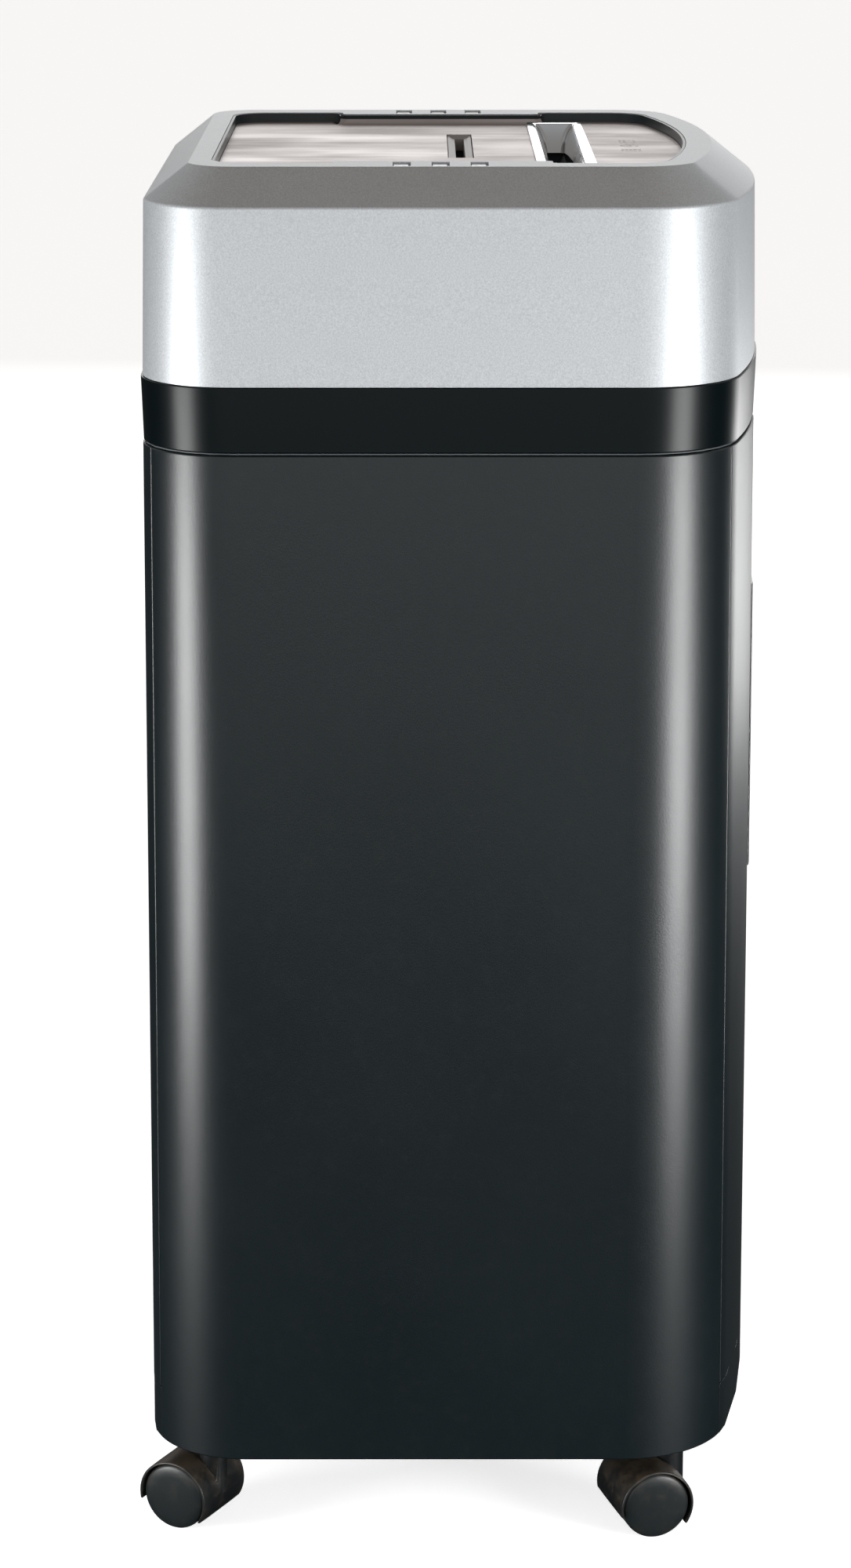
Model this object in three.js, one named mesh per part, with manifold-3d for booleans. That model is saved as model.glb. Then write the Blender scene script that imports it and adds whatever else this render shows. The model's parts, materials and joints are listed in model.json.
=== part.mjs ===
// Deskside paper shredder: a painted head with a recessed top panel, a collar, a cabinet with a
// pull-out bin behind a bowed front, and four hooded twin-wheel casters.
// Millimetres. +Z is up, the floor is z = 0, the bin front faces -Y, the paper runs across X.

import * as THREE from 'three';
import { mergeVertices } from 'three/addons/utils/BufferGeometryUtils.js';
import Module from 'manifold-3d';

const wasm = await Module();
wasm.setup();

// ---------------------------------------------------------------- driving dimensions

const GAP = 0.3; // clearance between two pieces that meet
const WALL = 3; // moulded casing wall
const SEAM = 0.8; // visible joint between cabinet panels
const OVERSHOOT = 2; // how far a cutting shape runs past what it cuts
const ARC_STEPS = 3; // each arc of an outline gets twice as many chords

// Plan outline of the casing at the cabinet's top edge.
const CASING = {
  half: 192.6, // half the width, left to right
  rear: 172.9,
  front: 172.9,
  rearCorner: 52,
  frontCorner: 60,
  bow: 600, // radius of the bowed front
};

// How far each level of the casing stands outside that outline.
const BASE_FLARE = 4;
const COLLAR_BOTTOM_GROWTH = -0.4;
const COLLAR_TOP_GROWTH = 0.7;
const HEAD_BOTTOM_GROWTH = -0.3;
const SHOULDER_GROWTH = -2.3;
const CHAMFER_RUN = 24.7;

// Heights, stacked from the floor up.
const WHEEL_RADIUS = 20;
const WHEEL_CLEARANCE = 0.9;
const HOOD_WALL = 1.5;
const BOSS_RISE = 3; // stem boss above the top of the hood
const STEM_SHOW = 14; // bare stem between a caster's boss and the base
const SKIRT_HEIGHT = 31.6;
const CABINET_HEIGHT = 583.6;
const GROOVE = 1.5; // shadow line under the collar
const COLLAR_HEIGHT = 35.5;
const HEAD_WALL_HEIGHT = 95.7;
const CHAMFER_DROP = 19.3;

const HOOD_RADIUS = WHEEL_RADIUS + WHEEL_CLEARANCE + HOOD_WALL;
const HOOD_TOP = WHEEL_RADIUS + HOOD_RADIUS;
const BASE_Z = HOOD_TOP + BOSS_RISE + STEM_SHOW;
const SKIRT_Z = BASE_Z + SKIRT_HEIGHT;
const CABINET_Z = BASE_Z + CABINET_HEIGHT;
const COLLAR_Z = CABINET_Z + GROOVE;
const HEAD_Z = COLLAR_Z + COLLAR_HEIGHT;
const SHOULDER_Z = HEAD_Z + HEAD_WALL_HEIGHT;
const RIM_Z = SHOULDER_Z + CHAMFER_DROP;

// Recess in the top of the head, inside its flat rim.
const RIM_SIDE = 18.6; // width of the rim at the sides, the rear and the front
const RIM_REAR = 11.9;
const RIM_FRONT = 14.5;
const RIM_GROWTH = SHOULDER_GROWTH - CHAMFER_RUN;
const OPENING = {
  half: CASING.half + RIM_GROWTH - RIM_SIDE,
  rear: CASING.rear + RIM_GROWTH - RIM_REAR,
  front: CASING.front + RIM_GROWTH - RIM_FRONT,
  rearCorner: 20,
  frontCorner: 24,
  bow: 577,
};
const RECESS_DEPTH = 5.5;
const PAD_INSET = 10.6; // the rim is wider by this along the middle of each side
const PAD_FRONT = -51;
const PAD_REAR = 67;
const SURROUND_WALL = 1.5;
const SURROUND_FLOOR = 2.5;
const SURROUND_LEDGE = 12;
const SURROUND_TUCK = 4; // flange hidden under the rim
const PANEL_THICKNESS = 2.7;

// Three domed caps let into each side of the rim.
const CAP_LENGTH = 9;
const CAP_REACH = 19;
const CAP_PITCH = 21;
const CAP_MIDDLE_Y = 9.3;
const CAP_INSET = 14.1; // middle of a cap from the rim's outer edge
const CAP_HEIGHT = 5;
const CAP_SINK = 0.9; // top of the dome below the rim
const CAP_DOME = 1.6;
const CAP_MIDDLE_X = CASING.half + RIM_GROWTH - CAP_INSET;

// Feed throat for paper, and the slot for discs and cards.
const THROAT_Y = -60.3;
const THROAT_WIDTH = 33;
const THROAT_FLANGE = 1.6;
const THROAT_SIDE = 3.5; // wall of the funnel beside the paper
const THROAT_END = 7; // flange beyond each end of the paper mouth
const THROAT_MOUTH = 11;
const THROAT_DEPTH = 17;
const PAPER_WIDTH = 230;
const THROAT_LENGTH = PAPER_WIDTH + 2 * THROAT_END;
const FUNNEL_KNEE = 0.4; // share of the depth where the funnel turns steep
const FUNNEL_KNEE_OUT = 2.4;
const DISC_Y = -2.5;
const DISC_LENGTH = 122.5;
const DISC_SLOT = 5;
const BEZEL_WIDTH = 14;
const BEZEL_END = 5;
const BEZEL_SINK = 1; // its face below the panel
const BEZEL_DEPTH = 8;

// Cabinet panels and bin.
const REAR_SEAM_INSET = 28; // from the side face to the joint in the rear corner
const FRONT_SEAM_INSET = 32.6;
const BASE_PLATE = 4;
const WINDOW_WIDTH = 110;
const WINDOW_DROP = 99; // top of the window below the cabinet's top edge
const WINDOW_HEIGHT = 170;
const WINDOW_PROUD = 1;
const WINDOW_BACK = 2; // window plate behind the outer face of the bin front
const BIN_SIDE_CLEARANCE = 10; // between the bin and the edge of each side panel
const BIN_REAR_CLEARANCE = 20.4;
const BIN_WALL = 2.5;
const BIN_FLOOR_CLEARANCE = 1; // above the base's front skirt, which the bin slides over
const RAIL_INSET = 26; // middle of each runner from the bin's side
const RAIL_WIDTH = 8;
const BIN_HEADROOM = 54; // open space between the bin's rim and the deck
const GRIP_WIDTH = 116;
const GRIP_HEIGHT = 24;
const GRIP_DEPTH = 17;
const GRIP_WALL = 2;
const DECK_THICKNESS = 3;
const DECK_LIP = 0.9;
const DECK_LIP_SET_BACK = 1.2;

// Rear fittings and ventilation slots.
const FITTING_DROP = 34; // middle of the fittings below the cabinet's top edge
const INLET_X = -62;
const INLET_WIDTH = 27;
const INLET_HEIGHT = 20;
const SWITCH_X = -14;
const SWITCH_WIDTH = 14;
const SWITCH_HEIGHT = 20;
const SWITCH_TILT = THREE.MathUtils.degToRad(8);
const VENT_COUNT = 7;
const VENT_PITCH = 13;
const VENT_WIDTH = 4.5;
const VENT_HEIGHT = 26;
const VENT_X = 40; // first slot

// Cutting block.
const SHAFT_DROP = 83; // cutter shafts below the rim
const NIP_Y = -31.4; // where paper and discs meet the cutters
const CUTTER_CENTRES = 34;
const CUTTER_RADIUS = 20;
const CUTTER_TIP_CLEARANCE = 0.8; // from one drum's discs to the other's core
const JOURNAL_RADIUS = 6;
const CUTTER_PITCH = 14;
const CUTTER_THICKNESS = 6.2;
const PLATE_CLEARANCE = 3; // from the end of the paper mouth to a side plate
const PLATE_THICKNESS = 3;
const PLATE_FRONT_MARGIN = 25.6; // beyond the front shaft
const PLATE_REAR_MARGIN = 39.9; // beyond the motor shaft
const PLATE_TOP_MARGIN = 40; // above the shafts
const COMB_THICKNESS = 6;
const COMB_BAR = 5;
const FINGER_SIDE_CLEARANCE = 1;
const TIE_RADIUS = 4;
const CHUTE_WALL = 1.6;
const PAPER_CHANNEL = 13;
const DISC_CHANNEL = 9;
const CHUTE_TO_CUTTERS = 6; // bottom of the chutes above the discs
const CHUTE_APART = 0.5; // half the space between the chutes' lower ends

// Gear train outside the right-hand plate.
const SYNC_TEETH = 17;
const SYNC_MODULE = CUTTER_CENTRES / SYNC_TEETH;
const REDUCTION_SMALL_TEETH = 12;
const REDUCTION_LARGE_TEETH = 40;
const PINION_TEETH = 10;
const MOTOR_MODULE = 1.5;
const GEAR_WIDTH = 8;
const GEAR_PLANE_GAP = 1.2;
const STUD_RADIUS = 4;
const MOTOR_RADIUS = 26;
const MOTOR_LENGTH = 110;
const MOTOR_SHAFT_RADIUS = 3;
const BELL_LENGTH = 12;
const BELL_RADIUS = 18.2;
const FAN_RADIUS = 21; // cooling fan on the shaft behind the can
const FAN_THICKNESS = 5;
const FAN_BLADES = 8;
const FAN_HUB_RADIUS = 8;
const FAN_SLOT = 5;
const FAN_CLEARANCE = 3;
const BOARD_CLEARANCE = 14; // from the cutting block to the tallest part on the board

// Casters.
const CASTER_INSET_X = 46.6; // swivel axis from the base's side face
const CASTER_REAR_Y = 142;
const CASTER_FRONT_Y = -126;
const CASTER_TRAIL = 15;
const WHEEL_WIDTH = 17;
const HUB_WEB = 5; // half the thickness of the hood's middle web
const AXLE_RADIUS = 3;
const STEM_RADIUS = 4.5;
const STEM_SOCKET = 14; // stem length inside the base
const SOCKET_ROOF = 1.8;
const BOSS_RADIUS = 8;
const SWIVEL_ANGLES = {
  left_rear: -28,
  left_front: 16,
  right_rear: 35,
  right_front: -20,
};

// ---------------------------------------------------------------- finishes

/** A material from its colour, roughness and metalness. */
function finish(color, roughness, metalness = 0) {
  return new THREE.MeshStandardMaterial({ color, roughness, metalness });
}

const SILVER_PAINT = () => finish(0xcdd1d4, 0.38, 0.6);
const BLACK_PLASTIC = () => finish(0x1a2125, 0.5);
const TRIM_PLASTIC = () => finish(0x22292c, 0.4);
const BRUSHED_METAL = () => finish(0xb9aeac, 0.34, 0.9);
const CHROME = () => finish(0xe6e8ea, 0.08, 1);
const TINTED_CLEAR = () => finish(0x2b3136, 0.12);
const STEEL = () => finish(0x8d9195, 0.4, 0.9);
const GEAR_PLASTIC = () => finish(0xd9d5c8, 0.55);
const GREY_PLASTIC = () => finish(0x50565a, 0.55);
const BOARD_GREEN = () => finish(0x2c5a3c, 0.5);
const LENS_WHITE = () => finish(0xe9ecee, 0.3);

// ---------------------------------------------------------------- solids and outlines

/** A closed geometry as a solid that can be joined and cut. */
function solid(geometry) {
  const bare = new THREE.BufferGeometry();
  bare.setAttribute('position', geometry.getAttribute('position'));
  bare.setIndex(geometry.index);
  const merged = mergeVertices(bare, 1e-4);
  const corners = Array.from(merged.index.array);
  const triVerts = [];
  for (let i = 0; i < corners.length; i += 3) {
    const [a, b, c] = corners.slice(i, i + 3);
    if (a !== b && b !== c && c !== a) triVerts.push(a, b, c);
  }
  const mesh = new wasm.Mesh({
    numProp: 3,
    vertProperties: merged.getAttribute('position').array,
    triVerts: Uint32Array.from(triVerts),
  });
  return new wasm.Manifold(mesh);
}

/** The geometry of a solid. */
function geometryOf(body) {
  const { vertProperties, triVerts, numProp } = body.getMesh();
  const geometry = new THREE.BufferGeometry();
  geometry.setAttribute('position', new THREE.BufferAttribute(vertProperties, numProp));
  geometry.setIndex(new THREE.BufferAttribute(triVerts, 1));
  geometry.computeVertexNormals();
  return geometry;
}

/** A named piece made from a solid. */
function piece(name, body, material) {
  const mesh = new THREE.Mesh(geometryOf(body), material);
  mesh.name = name;
  return mesh;
}

/** Rectangular block between two values on each axis. */
function block([x0, x1], [y0, y1], [z0, z1]) {
  const geometry = new THREE.BoxGeometry(x1 - x0, y1 - y0, z1 - z0);
  geometry.translate((x0 + x1) / 2, (y0 + y1) / 2, (z0 + z1) / 2);
  return solid(geometry);
}

/** Block that is symmetrical about a middle: [middle, size] on X and Y, two values on Z. */
function pad([x, width], [y, depth], z) {
  return block([x - width / 2, x + width / 2], [y - depth / 2, y + depth / 2], z);
}

/** Round bar along X through (y, z). */
function barX(radius, [x0, x1], y, z, sides = 12) {
  const geometry = new THREE.CylinderGeometry(radius, radius, x1 - x0, sides);
  geometry.rotateZ(-Math.PI / 2);
  geometry.translate((x0 + x1) / 2, y, z);
  return solid(geometry);
}

/** Round bar along Z through (x, y). */
function barZ(radius, [z0, z1], x, y, sides = 12) {
  const geometry = new THREE.CylinderGeometry(radius, radius, z1 - z0, sides);
  geometry.rotateX(Math.PI / 2);
  geometry.translate(x, y, (z0 + z1) / 2);
  return solid(geometry);
}

/** Solid of revolution about X from a profile of [radius, x] points, ends on the axis. */
function turnedX(profile, sides) {
  const points = profile.map(([radius, x]) => new THREE.Vector2(radius, x));
  const geometry = new THREE.LatheGeometry(points, sides);
  geometry.rotateZ(-Math.PI / 2);
  return solid(geometry);
}

/** Outline in Y and Z, given as [y, z] points, extruded along X. */
function profileX(points, [x0, x1]) {
  const shape = new THREE.Shape(points.map(([y, z]) => new THREE.Vector2(y, z)));
  const geometry = new THREE.ExtrudeGeometry(shape, { depth: x1 - x0, bevelEnabled: false });
  const toYZX = new THREE.Matrix4().makeBasis(
    new THREE.Vector3(0, 1, 0),
    new THREE.Vector3(0, 0, 1),
    new THREE.Vector3(1, 0, 0),
  );
  geometry.applyMatrix4(toYZX);
  geometry.translate(x0, 0, 0);
  return solid(geometry);
}

/** Points round a casing outline moved out by `growth`: flat rear, round corners, bowed front. */
function casingRing(outline, growth) {
  const half = outline.half + growth;
  const rear = outline.rear + growth;
  const rearR = outline.rearCorner + growth;
  const frontR = outline.frontCorner + growth;
  const bowR = outline.bow + growth;
  const bowY = outline.bow - outline.front;
  const turn = Math.asin((half - frontR) / (bowR - frontR));
  const cornerY = bowY - (bowR - frontR) * Math.cos(turn);
  const shape = new THREE.Shape();
  shape.absarc(half - rearR, rear - rearR, rearR, 0, Math.PI / 2, false);
  shape.absarc(rearR - half, rear - rearR, rearR, Math.PI / 2, Math.PI, false);
  shape.absarc(frontR - half, cornerY, frontR, Math.PI, 1.5 * Math.PI - turn, false);
  shape.absarc(0, bowY, bowR, 1.5 * Math.PI - turn, 1.5 * Math.PI + turn, false);
  shape.absarc(half - frontR, cornerY, frontR, 1.5 * Math.PI + turn, 2 * Math.PI, false);
  const points = shape.getPoints(ARC_STEPS);
  return points.filter((point, i) => point.distanceTo(points[(i + 1) % points.length]) > 0.01);
}

/** Solid skinned over rings of points, one [z, ring] pair per level from the bottom up. */
function loft(levels) {
  const count = levels[0][1].length;
  const positions = levels.flatMap(([z, ring]) => ring.flatMap((point) => [point.x, point.y, z]));
  const indices = [];
  for (let level = 0; level + 1 < levels.length; level += 1) {
    for (let i = 0; i < count; i += 1) {
      const a = level * count + i;
      const b = level * count + ((i + 1) % count);
      indices.push(a, b, b + count, a, b + count, a + count);
    }
  }
  const cap = THREE.ShapeUtils.triangulateShape(levels[0][1], []);
  const top = (levels.length - 1) * count;
  for (const [a, b, c] of cap) {
    indices.push(c, b, a, top + a, top + b, top + c);
  }
  const geometry = new THREE.BufferGeometry();
  geometry.setAttribute('position', new THREE.Float32BufferAttribute(positions, 3));
  geometry.setIndex(indices);
  return solid(geometry);
}

/** Casing outline lofted between two heights, with a growth at each. */
function casing(outline, [z0, growth0], [z1, growth1]) {
  return loft([
    [z0, casingRing(outline, growth0)],
    [z1, casingRing(outline, growth1)],
  ]);
}

/** Straight-walled solid of the top opening, grown by `growth`, with the rim pads left out. */
function openingPrism(growth, z0, z1) {
  let body = casing(OPENING, [z0, growth], [z1, growth]);
  const inner = OPENING.half - PAD_INSET + growth;
  const outer = OPENING.half + growth + OVERSHOOT;
  for (const [x0, x1] of [[-outer, -inner], [inner, outer]]) {
    body = body.subtract(block([x0, x1], [PAD_FRONT + growth, PAD_REAR - growth], [z0 - 1, z1 + 1]));
  }
  return body;
}

/** Flare of the cabinet wall at a height. */
function flareAt(z) {
  return BASE_FLARE * (CABINET_Z - z) / CABINET_HEIGHT;
}

/** Cabinet outline between two heights, following the flare, set in by `inset`. */
function cabinetCore(inset, z0, z1) {
  return casing(CASING, [z0, flareAt(z0) - inset], [z1, flareAt(z1) - inset]);
}

/** Wall of the cabinet between two heights. */
function cabinetShell(z0, z1) {
  return cabinetCore(0, z0, z1).subtract(cabinetCore(WALL, z0 - OVERSHOOT, z1 + OVERSHOOT));
}

// ---------------------------------------------------------------- shared places

const FAR = 2 * (CASING.half + CASING.rear + CASING.front); // beyond the object on every side
const REAR_SEAM_X = CASING.half - REAR_SEAM_INSET;
const FRONT_SEAM_X = CASING.half - FRONT_SEAM_INSET;
const BIN_FLOOR_Z = SKIRT_Z + BIN_FLOOR_CLEARANCE;
const BIN_HALF_WIDTH = FRONT_SEAM_X - BIN_SIDE_CLEARANCE;
const BIN_REAR_Y = CASING.rear - WALL - BIN_REAR_CLEARANCE;
const FITTING_Z = CABINET_Z - FITTING_DROP;
const PANEL_Z = RIM_Z - RECESS_DEPTH;
const PANEL_BACK_Z = PANEL_Z - PANEL_THICKNESS;
const SURROUND_FLOOR_Z = PANEL_BACK_Z - GAP;

/** Y of the outside of the bowed front at a distance from the middle, at the cabinet's top. */
function bowFaceY(x) {
  return CASING.bow - CASING.front - Math.sqrt(CASING.bow ** 2 - x ** 2);
}

// The flat front of the bin just clears the bowed wall at the bin's corners.
const BIN_FRONT_Y = bowFaceY(BIN_HALF_WIDTH) + WALL + GAP;
const BIN_MIDDLE_Y = (BIN_FRONT_Y + BIN_REAR_Y) / 2;
const BIN_DEPTH = BIN_REAR_Y - BIN_FRONT_Y;

// ---------------------------------------------------------------- head

/** The pocket for one rim cap, or the cap's own outline when `clearance` is 0. */
function capBlock(side, index, clearance, z) {
  const y = CAP_MIDDLE_Y + (index - 1) * CAP_PITCH;
  return pad([side * CAP_MIDDLE_X, CAP_REACH + 2 * clearance], [y, CAP_LENGTH + 2 * clearance], z);
}

function headHousing() {
  const slope = CHAMFER_RUN / CHAMFER_DROP;
  const chamferWall = WALL * Math.hypot(1, slope); // wall measured level, across the slope
  const innerTop = RIM_GROWTH + WALL * slope - chamferWall;
  const outer = loft([
    [HEAD_Z, casingRing(CASING, HEAD_BOTTOM_GROWTH)],
    [SHOULDER_Z, casingRing(CASING, SHOULDER_GROWTH)],
    [RIM_Z, casingRing(CASING, RIM_GROWTH)],
  ]);
  const shoulderDrop = (chamferWall - WALL) / slope;
  const inner = loft([
    [HEAD_Z - OVERSHOOT, casingRing(CASING, HEAD_BOTTOM_GROWTH - WALL)],
    [SHOULDER_Z - shoulderDrop, casingRing(CASING, SHOULDER_GROWTH - WALL)],
    [RIM_Z - WALL, casingRing(CASING, innerTop)],
  ]);
  let body = outer.subtract(inner);
  body = body.subtract(openingPrism(0, RIM_Z - WALL - OVERSHOOT, RIM_Z + OVERSHOOT));
  for (const side of [-1, 1]) {
    for (let index = 0; index < 3; index += 1) {
      body = body.subtract(capBlock(side, index, GAP, [RIM_Z - WALL - OVERSHOOT, RIM_Z + OVERSHOOT]));
    }
  }
  return piece('head_housing', body, SILVER_PAINT());
}

/** Dome-topped insert for one rim pocket. */
function rimCap(side, index) {
  const y = CAP_MIDDLE_Y + (index - 1) * CAP_PITCH;
  const half = CAP_LENGTH / 2;
  const topZ = RIM_Z - CAP_SINK;
  const bottomZ = topZ - CAP_HEIGHT;
  const points = [[y - half, bottomZ], [y + half, bottomZ]];
  for (let step = 0; step <= 6; step += 1) {
    const angle = Math.PI * step / 6;
    points.push([y + half * Math.cos(angle), topZ - CAP_DOME + CAP_DOME * Math.sin(angle)]);
  }
  const x = side * CAP_MIDDLE_X;
  const name = `rim_cap_${side < 0 ? 'left' : 'right'}_${index + 1}`;
  return piece(name, profileX(points, [x - CAP_REACH / 2, x + CAP_REACH / 2]), LENS_WHITE());
}

function panelSurround() {
  const flangeTop = RIM_Z - WALL - GAP;
  const lining = openingPrism(-GAP, SURROUND_FLOOR_Z - SURROUND_FLOOR, RIM_Z - GAP);
  const tuck = openingPrism(SURROUND_TUCK, SURROUND_FLOOR_Z - SURROUND_FLOOR, flangeTop);
  const tray = openingPrism(-GAP - SURROUND_WALL, SURROUND_FLOOR_Z, RIM_Z + OVERSHOOT);
  const below = SURROUND_FLOOR_Z - SURROUND_FLOOR - OVERSHOOT;
  const floorHole = openingPrism(-GAP - SURROUND_LEDGE, below, RIM_Z);
  let body = lining.add(tuck).subtract(tray).subtract(floorHole);
  for (const side of [-1, 1]) {
    for (let index = 0; index < 3; index += 1) {
      body = body.subtract(capBlock(side, index, 2 * GAP, [below, flangeTop + GAP]));
    }
  }
  return piece('panel_surround', body, TRIM_PLASTIC());
}

function topPanel() {
  const inset = -GAP - SURROUND_WALL - GAP;
  const through = [PANEL_BACK_Z - OVERSHOOT, PANEL_Z + OVERSHOOT];
  const throatHole = pad(
    [0, PAPER_WIDTH + 2 * THROAT_SIDE + 2 * GAP],
    [THROAT_Y, THROAT_WIDTH - 2 * THROAT_SIDE],
    through,
  );
  const bezelHole = pad(
    [0, DISC_LENGTH + 2 * BEZEL_END + 2 * GAP],
    [DISC_Y, BEZEL_WIDTH + 2 * GAP],
    through,
  );
  const body = openingPrism(inset, PANEL_BACK_Z, PANEL_Z).subtract(throatHole).subtract(bezelHole);
  return piece('top_panel', body, BRUSHED_METAL());
}

/** Plated funnel: a flange on the panel, and side walls that close in to the mouth. */
function feedThroat() {
  const top = PANEL_Z + GAP + THROAT_FLANGE;
  const bottom = top - THROAT_DEPTH;
  const halfTop = THROAT_WIDTH / 2 - THROAT_SIDE - GAP;
  const halfMouth = THROAT_MOUTH / 2;
  const channel = [
    [THROAT_Y - halfTop - GAP, top + OVERSHOOT],
    [THROAT_Y - halfTop - GAP, top],
    [THROAT_Y - halfMouth - FUNNEL_KNEE_OUT, top - THROAT_DEPTH * FUNNEL_KNEE],
    [THROAT_Y - halfMouth, bottom],
    [THROAT_Y - halfMouth, bottom - OVERSHOOT],
    [THROAT_Y + halfMouth, bottom - OVERSHOOT],
    [THROAT_Y + halfMouth, bottom],
    [THROAT_Y + halfMouth + FUNNEL_KNEE_OUT, top - THROAT_DEPTH * FUNNEL_KNEE],
    [THROAT_Y + halfTop + GAP, top],
    [THROAT_Y + halfTop + GAP, top + OVERSHOOT],
  ];
  const flange = pad([0, THROAT_LENGTH], [THROAT_Y, THROAT_WIDTH], [PANEL_Z + GAP, top]);
  const body = pad([0, PAPER_WIDTH + 2 * THROAT_SIDE], [THROAT_Y, 2 * halfTop], [bottom, top]);
  const funnel = profileX(channel, [-PAPER_WIDTH / 2, PAPER_WIDTH / 2]);
  return piece('feed_throat', flange.add(body).subtract(funnel), CHROME());
}

function discBezel() {
  const face = PANEL_Z - BEZEL_SINK;
  const body = pad([0, DISC_LENGTH + 2 * BEZEL_END], [DISC_Y, BEZEL_WIDTH], [face - BEZEL_DEPTH, face]);
  const slot = pad([0, DISC_LENGTH], [DISC_Y, DISC_SLOT], [face - BEZEL_DEPTH - 1, face + 1]);
  return piece('disc_slot_bezel', body.subtract(slot), TRIM_PLASTIC());
}

// ---------------------------------------------------------------- collar and deck

function collarFrame() {
  const top = HEAD_Z - GAP;
  const outer = casing(CASING, [COLLAR_Z, COLLAR_BOTTOM_GROWTH], [top, COLLAR_TOP_GROWTH]);
  const inner = casing(
    CASING,
    [COLLAR_Z - OVERSHOOT, COLLAR_BOTTOM_GROWTH - WALL],
    [top + OVERSHOOT, COLLAR_TOP_GROWTH - WALL],
  );
  return piece('collar_frame', outer.subtract(inner), BLACK_PLASTIC());
}

/** Plate that closes the cabinet, carries the cutting block and lets the shreds fall through. */
function mechanismDeck() {
  const lipZ = CABINET_Z + GAP;
  const plugInset = WALL + 2 * GAP;
  const plug = cabinetCore(plugInset, lipZ - DECK_THICKNESS, lipZ);
  const lip = casing(CASING, [lipZ, -DECK_LIP_SET_BACK], [lipZ + DECK_LIP, -DECK_LIP_SET_BACK]);
  const shredHole = pad(
    [0, PAPER_WIDTH - 2 * WALL],
    [NIP_Y, CUTTER_CENTRES + 2 * CUTTER_RADIUS - 2 * TIE_RADIUS],
    [lipZ - DECK_THICKNESS - OVERSHOOT, lipZ + DECK_LIP + OVERSHOOT],
  );
  return piece('mechanism_deck', plug.add(lip).subtract(shredHole), GREY_PLASTIC());
}

const DECK_TOP_Z = CABINET_Z + GAP + DECK_LIP;

// ---------------------------------------------------------------- cabinet

/** Side panel: the whole side, round both corners to the joints. */
function sidePanel(name, side) {
  const shell = cabinetShell(BASE_Z, CABINET_Z);
  const height = [BASE_Z - OVERSHOOT, CABINET_Z + OVERSHOOT];
  const rearPart = block([REAR_SEAM_X, FAR], [-OVERSHOOT, FAR], height);
  const frontPart = block([FRONT_SEAM_X, FAR], [-FAR, 0], height);
  const keep = rearPart.add(frontPart);
  const body = shell.intersect(side < 0 ? keep.mirror([1, 0, 0]) : keep);
  return piece(name, body, BLACK_PLASTIC());
}

/** Rear panel with the inlet, the switch and the ventilation slots cut through it. */
function rearPanel() {
  const halfWidth = REAR_SEAM_X - SEAM;
  let body = cabinetShell(SKIRT_Z, CABINET_Z);
  body = body.intersect(block([-halfWidth, halfWidth], [0, FAR], [0, FAR * 2]));
  const through = [CASING.rear - 4 * WALL, CASING.rear + 4 * WALL];
  const cut = (x, width, height) => block(
    [x - width / 2 - GAP, x + width / 2 + GAP],
    through,
    [FITTING_Z - height / 2 - GAP, FITTING_Z + height / 2 + GAP],
  );
  body = body.subtract(cut(INLET_X, INLET_WIDTH, INLET_HEIGHT));
  body = body.subtract(cut(SWITCH_X, SWITCH_WIDTH, SWITCH_HEIGHT));
  for (let index = 0; index < VENT_COUNT; index += 1) {
    body = body.subtract(cut(VENT_X + index * VENT_PITCH, VENT_WIDTH - 2 * GAP, VENT_HEIGHT));
  }
  return piece('rear_panel', body, BLACK_PLASTIC());
}

/** Centres of the four swivels: [name, x, y, angle in degrees]. */
const CASTERS = Object.entries(SWIVEL_ANGLES).map(([name, angle]) => {
  const reach = CASING.half + BASE_FLARE - CASTER_INSET_X;
  const x = name.startsWith('left') ? -reach : reach;
  const y = name.endsWith('rear') ? CASTER_REAR_Y : CASTER_FRONT_Y;
  return [name, x, y, angle];
});

/** Floor of the cabinet with its front and rear skirts, two bin runners and four caster sockets. */
function basePan() {
  const plateTop = BASE_Z + BASE_PLATE;
  const plate = cabinetCore(WALL + GAP, BASE_Z, plateTop);
  const skirtTop = SKIRT_Z - SEAM;
  const shell = cabinetShell(BASE_Z, skirtTop);
  const rim = cabinetCore(0, BASE_Z, plateTop);
  const frontHalf = FRONT_SEAM_X - SEAM;
  const rearHalf = REAR_SEAM_X - SEAM;
  const tall = [BASE_Z - OVERSHOOT, SKIRT_Z];
  const between = block([-frontHalf, frontHalf], [-FAR, 0], tall).add(
    block([-rearHalf, rearHalf], [-OVERSHOOT, FAR], tall),
  );
  let body = plate.add(shell.add(rim).intersect(between));
  for (const side of [-1, 1]) {
    const railX = side * (BIN_HALF_WIDTH - RAIL_INSET);
    const rail = pad([railX, RAIL_WIDTH], [BIN_MIDDLE_Y, BIN_DEPTH], [BASE_Z, BIN_FLOOR_Z - GAP]);
    body = body.add(rail);
  }
  for (const [, x, y] of CASTERS) {
    body = body.add(barZ(STEM_RADIUS + 2 * WALL, [BASE_Z, BASE_Z + STEM_SOCKET + SOCKET_ROOF], x, y));
    const socket = [BASE_Z - OVERSHOOT, BASE_Z + STEM_SOCKET + GAP];
    body = body.subtract(barZ(STEM_RADIUS + 2 * GAP, socket, x, y));
  }
  return piece('base_pan', body, BLACK_PLASTIC());
}

// ---------------------------------------------------------------- bin

const WINDOW_TOP_Z = CABINET_Z - WINDOW_DROP;
const WINDOW_BOTTOM_Z = WINDOW_TOP_Z - WINDOW_HEIGHT;
const GRIP_TOP_Z = CABINET_Z - DECK_THICKNESS; // just under the deck
const BIN_RIM_Z = CABINET_Z - BIN_HEADROOM;

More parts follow.
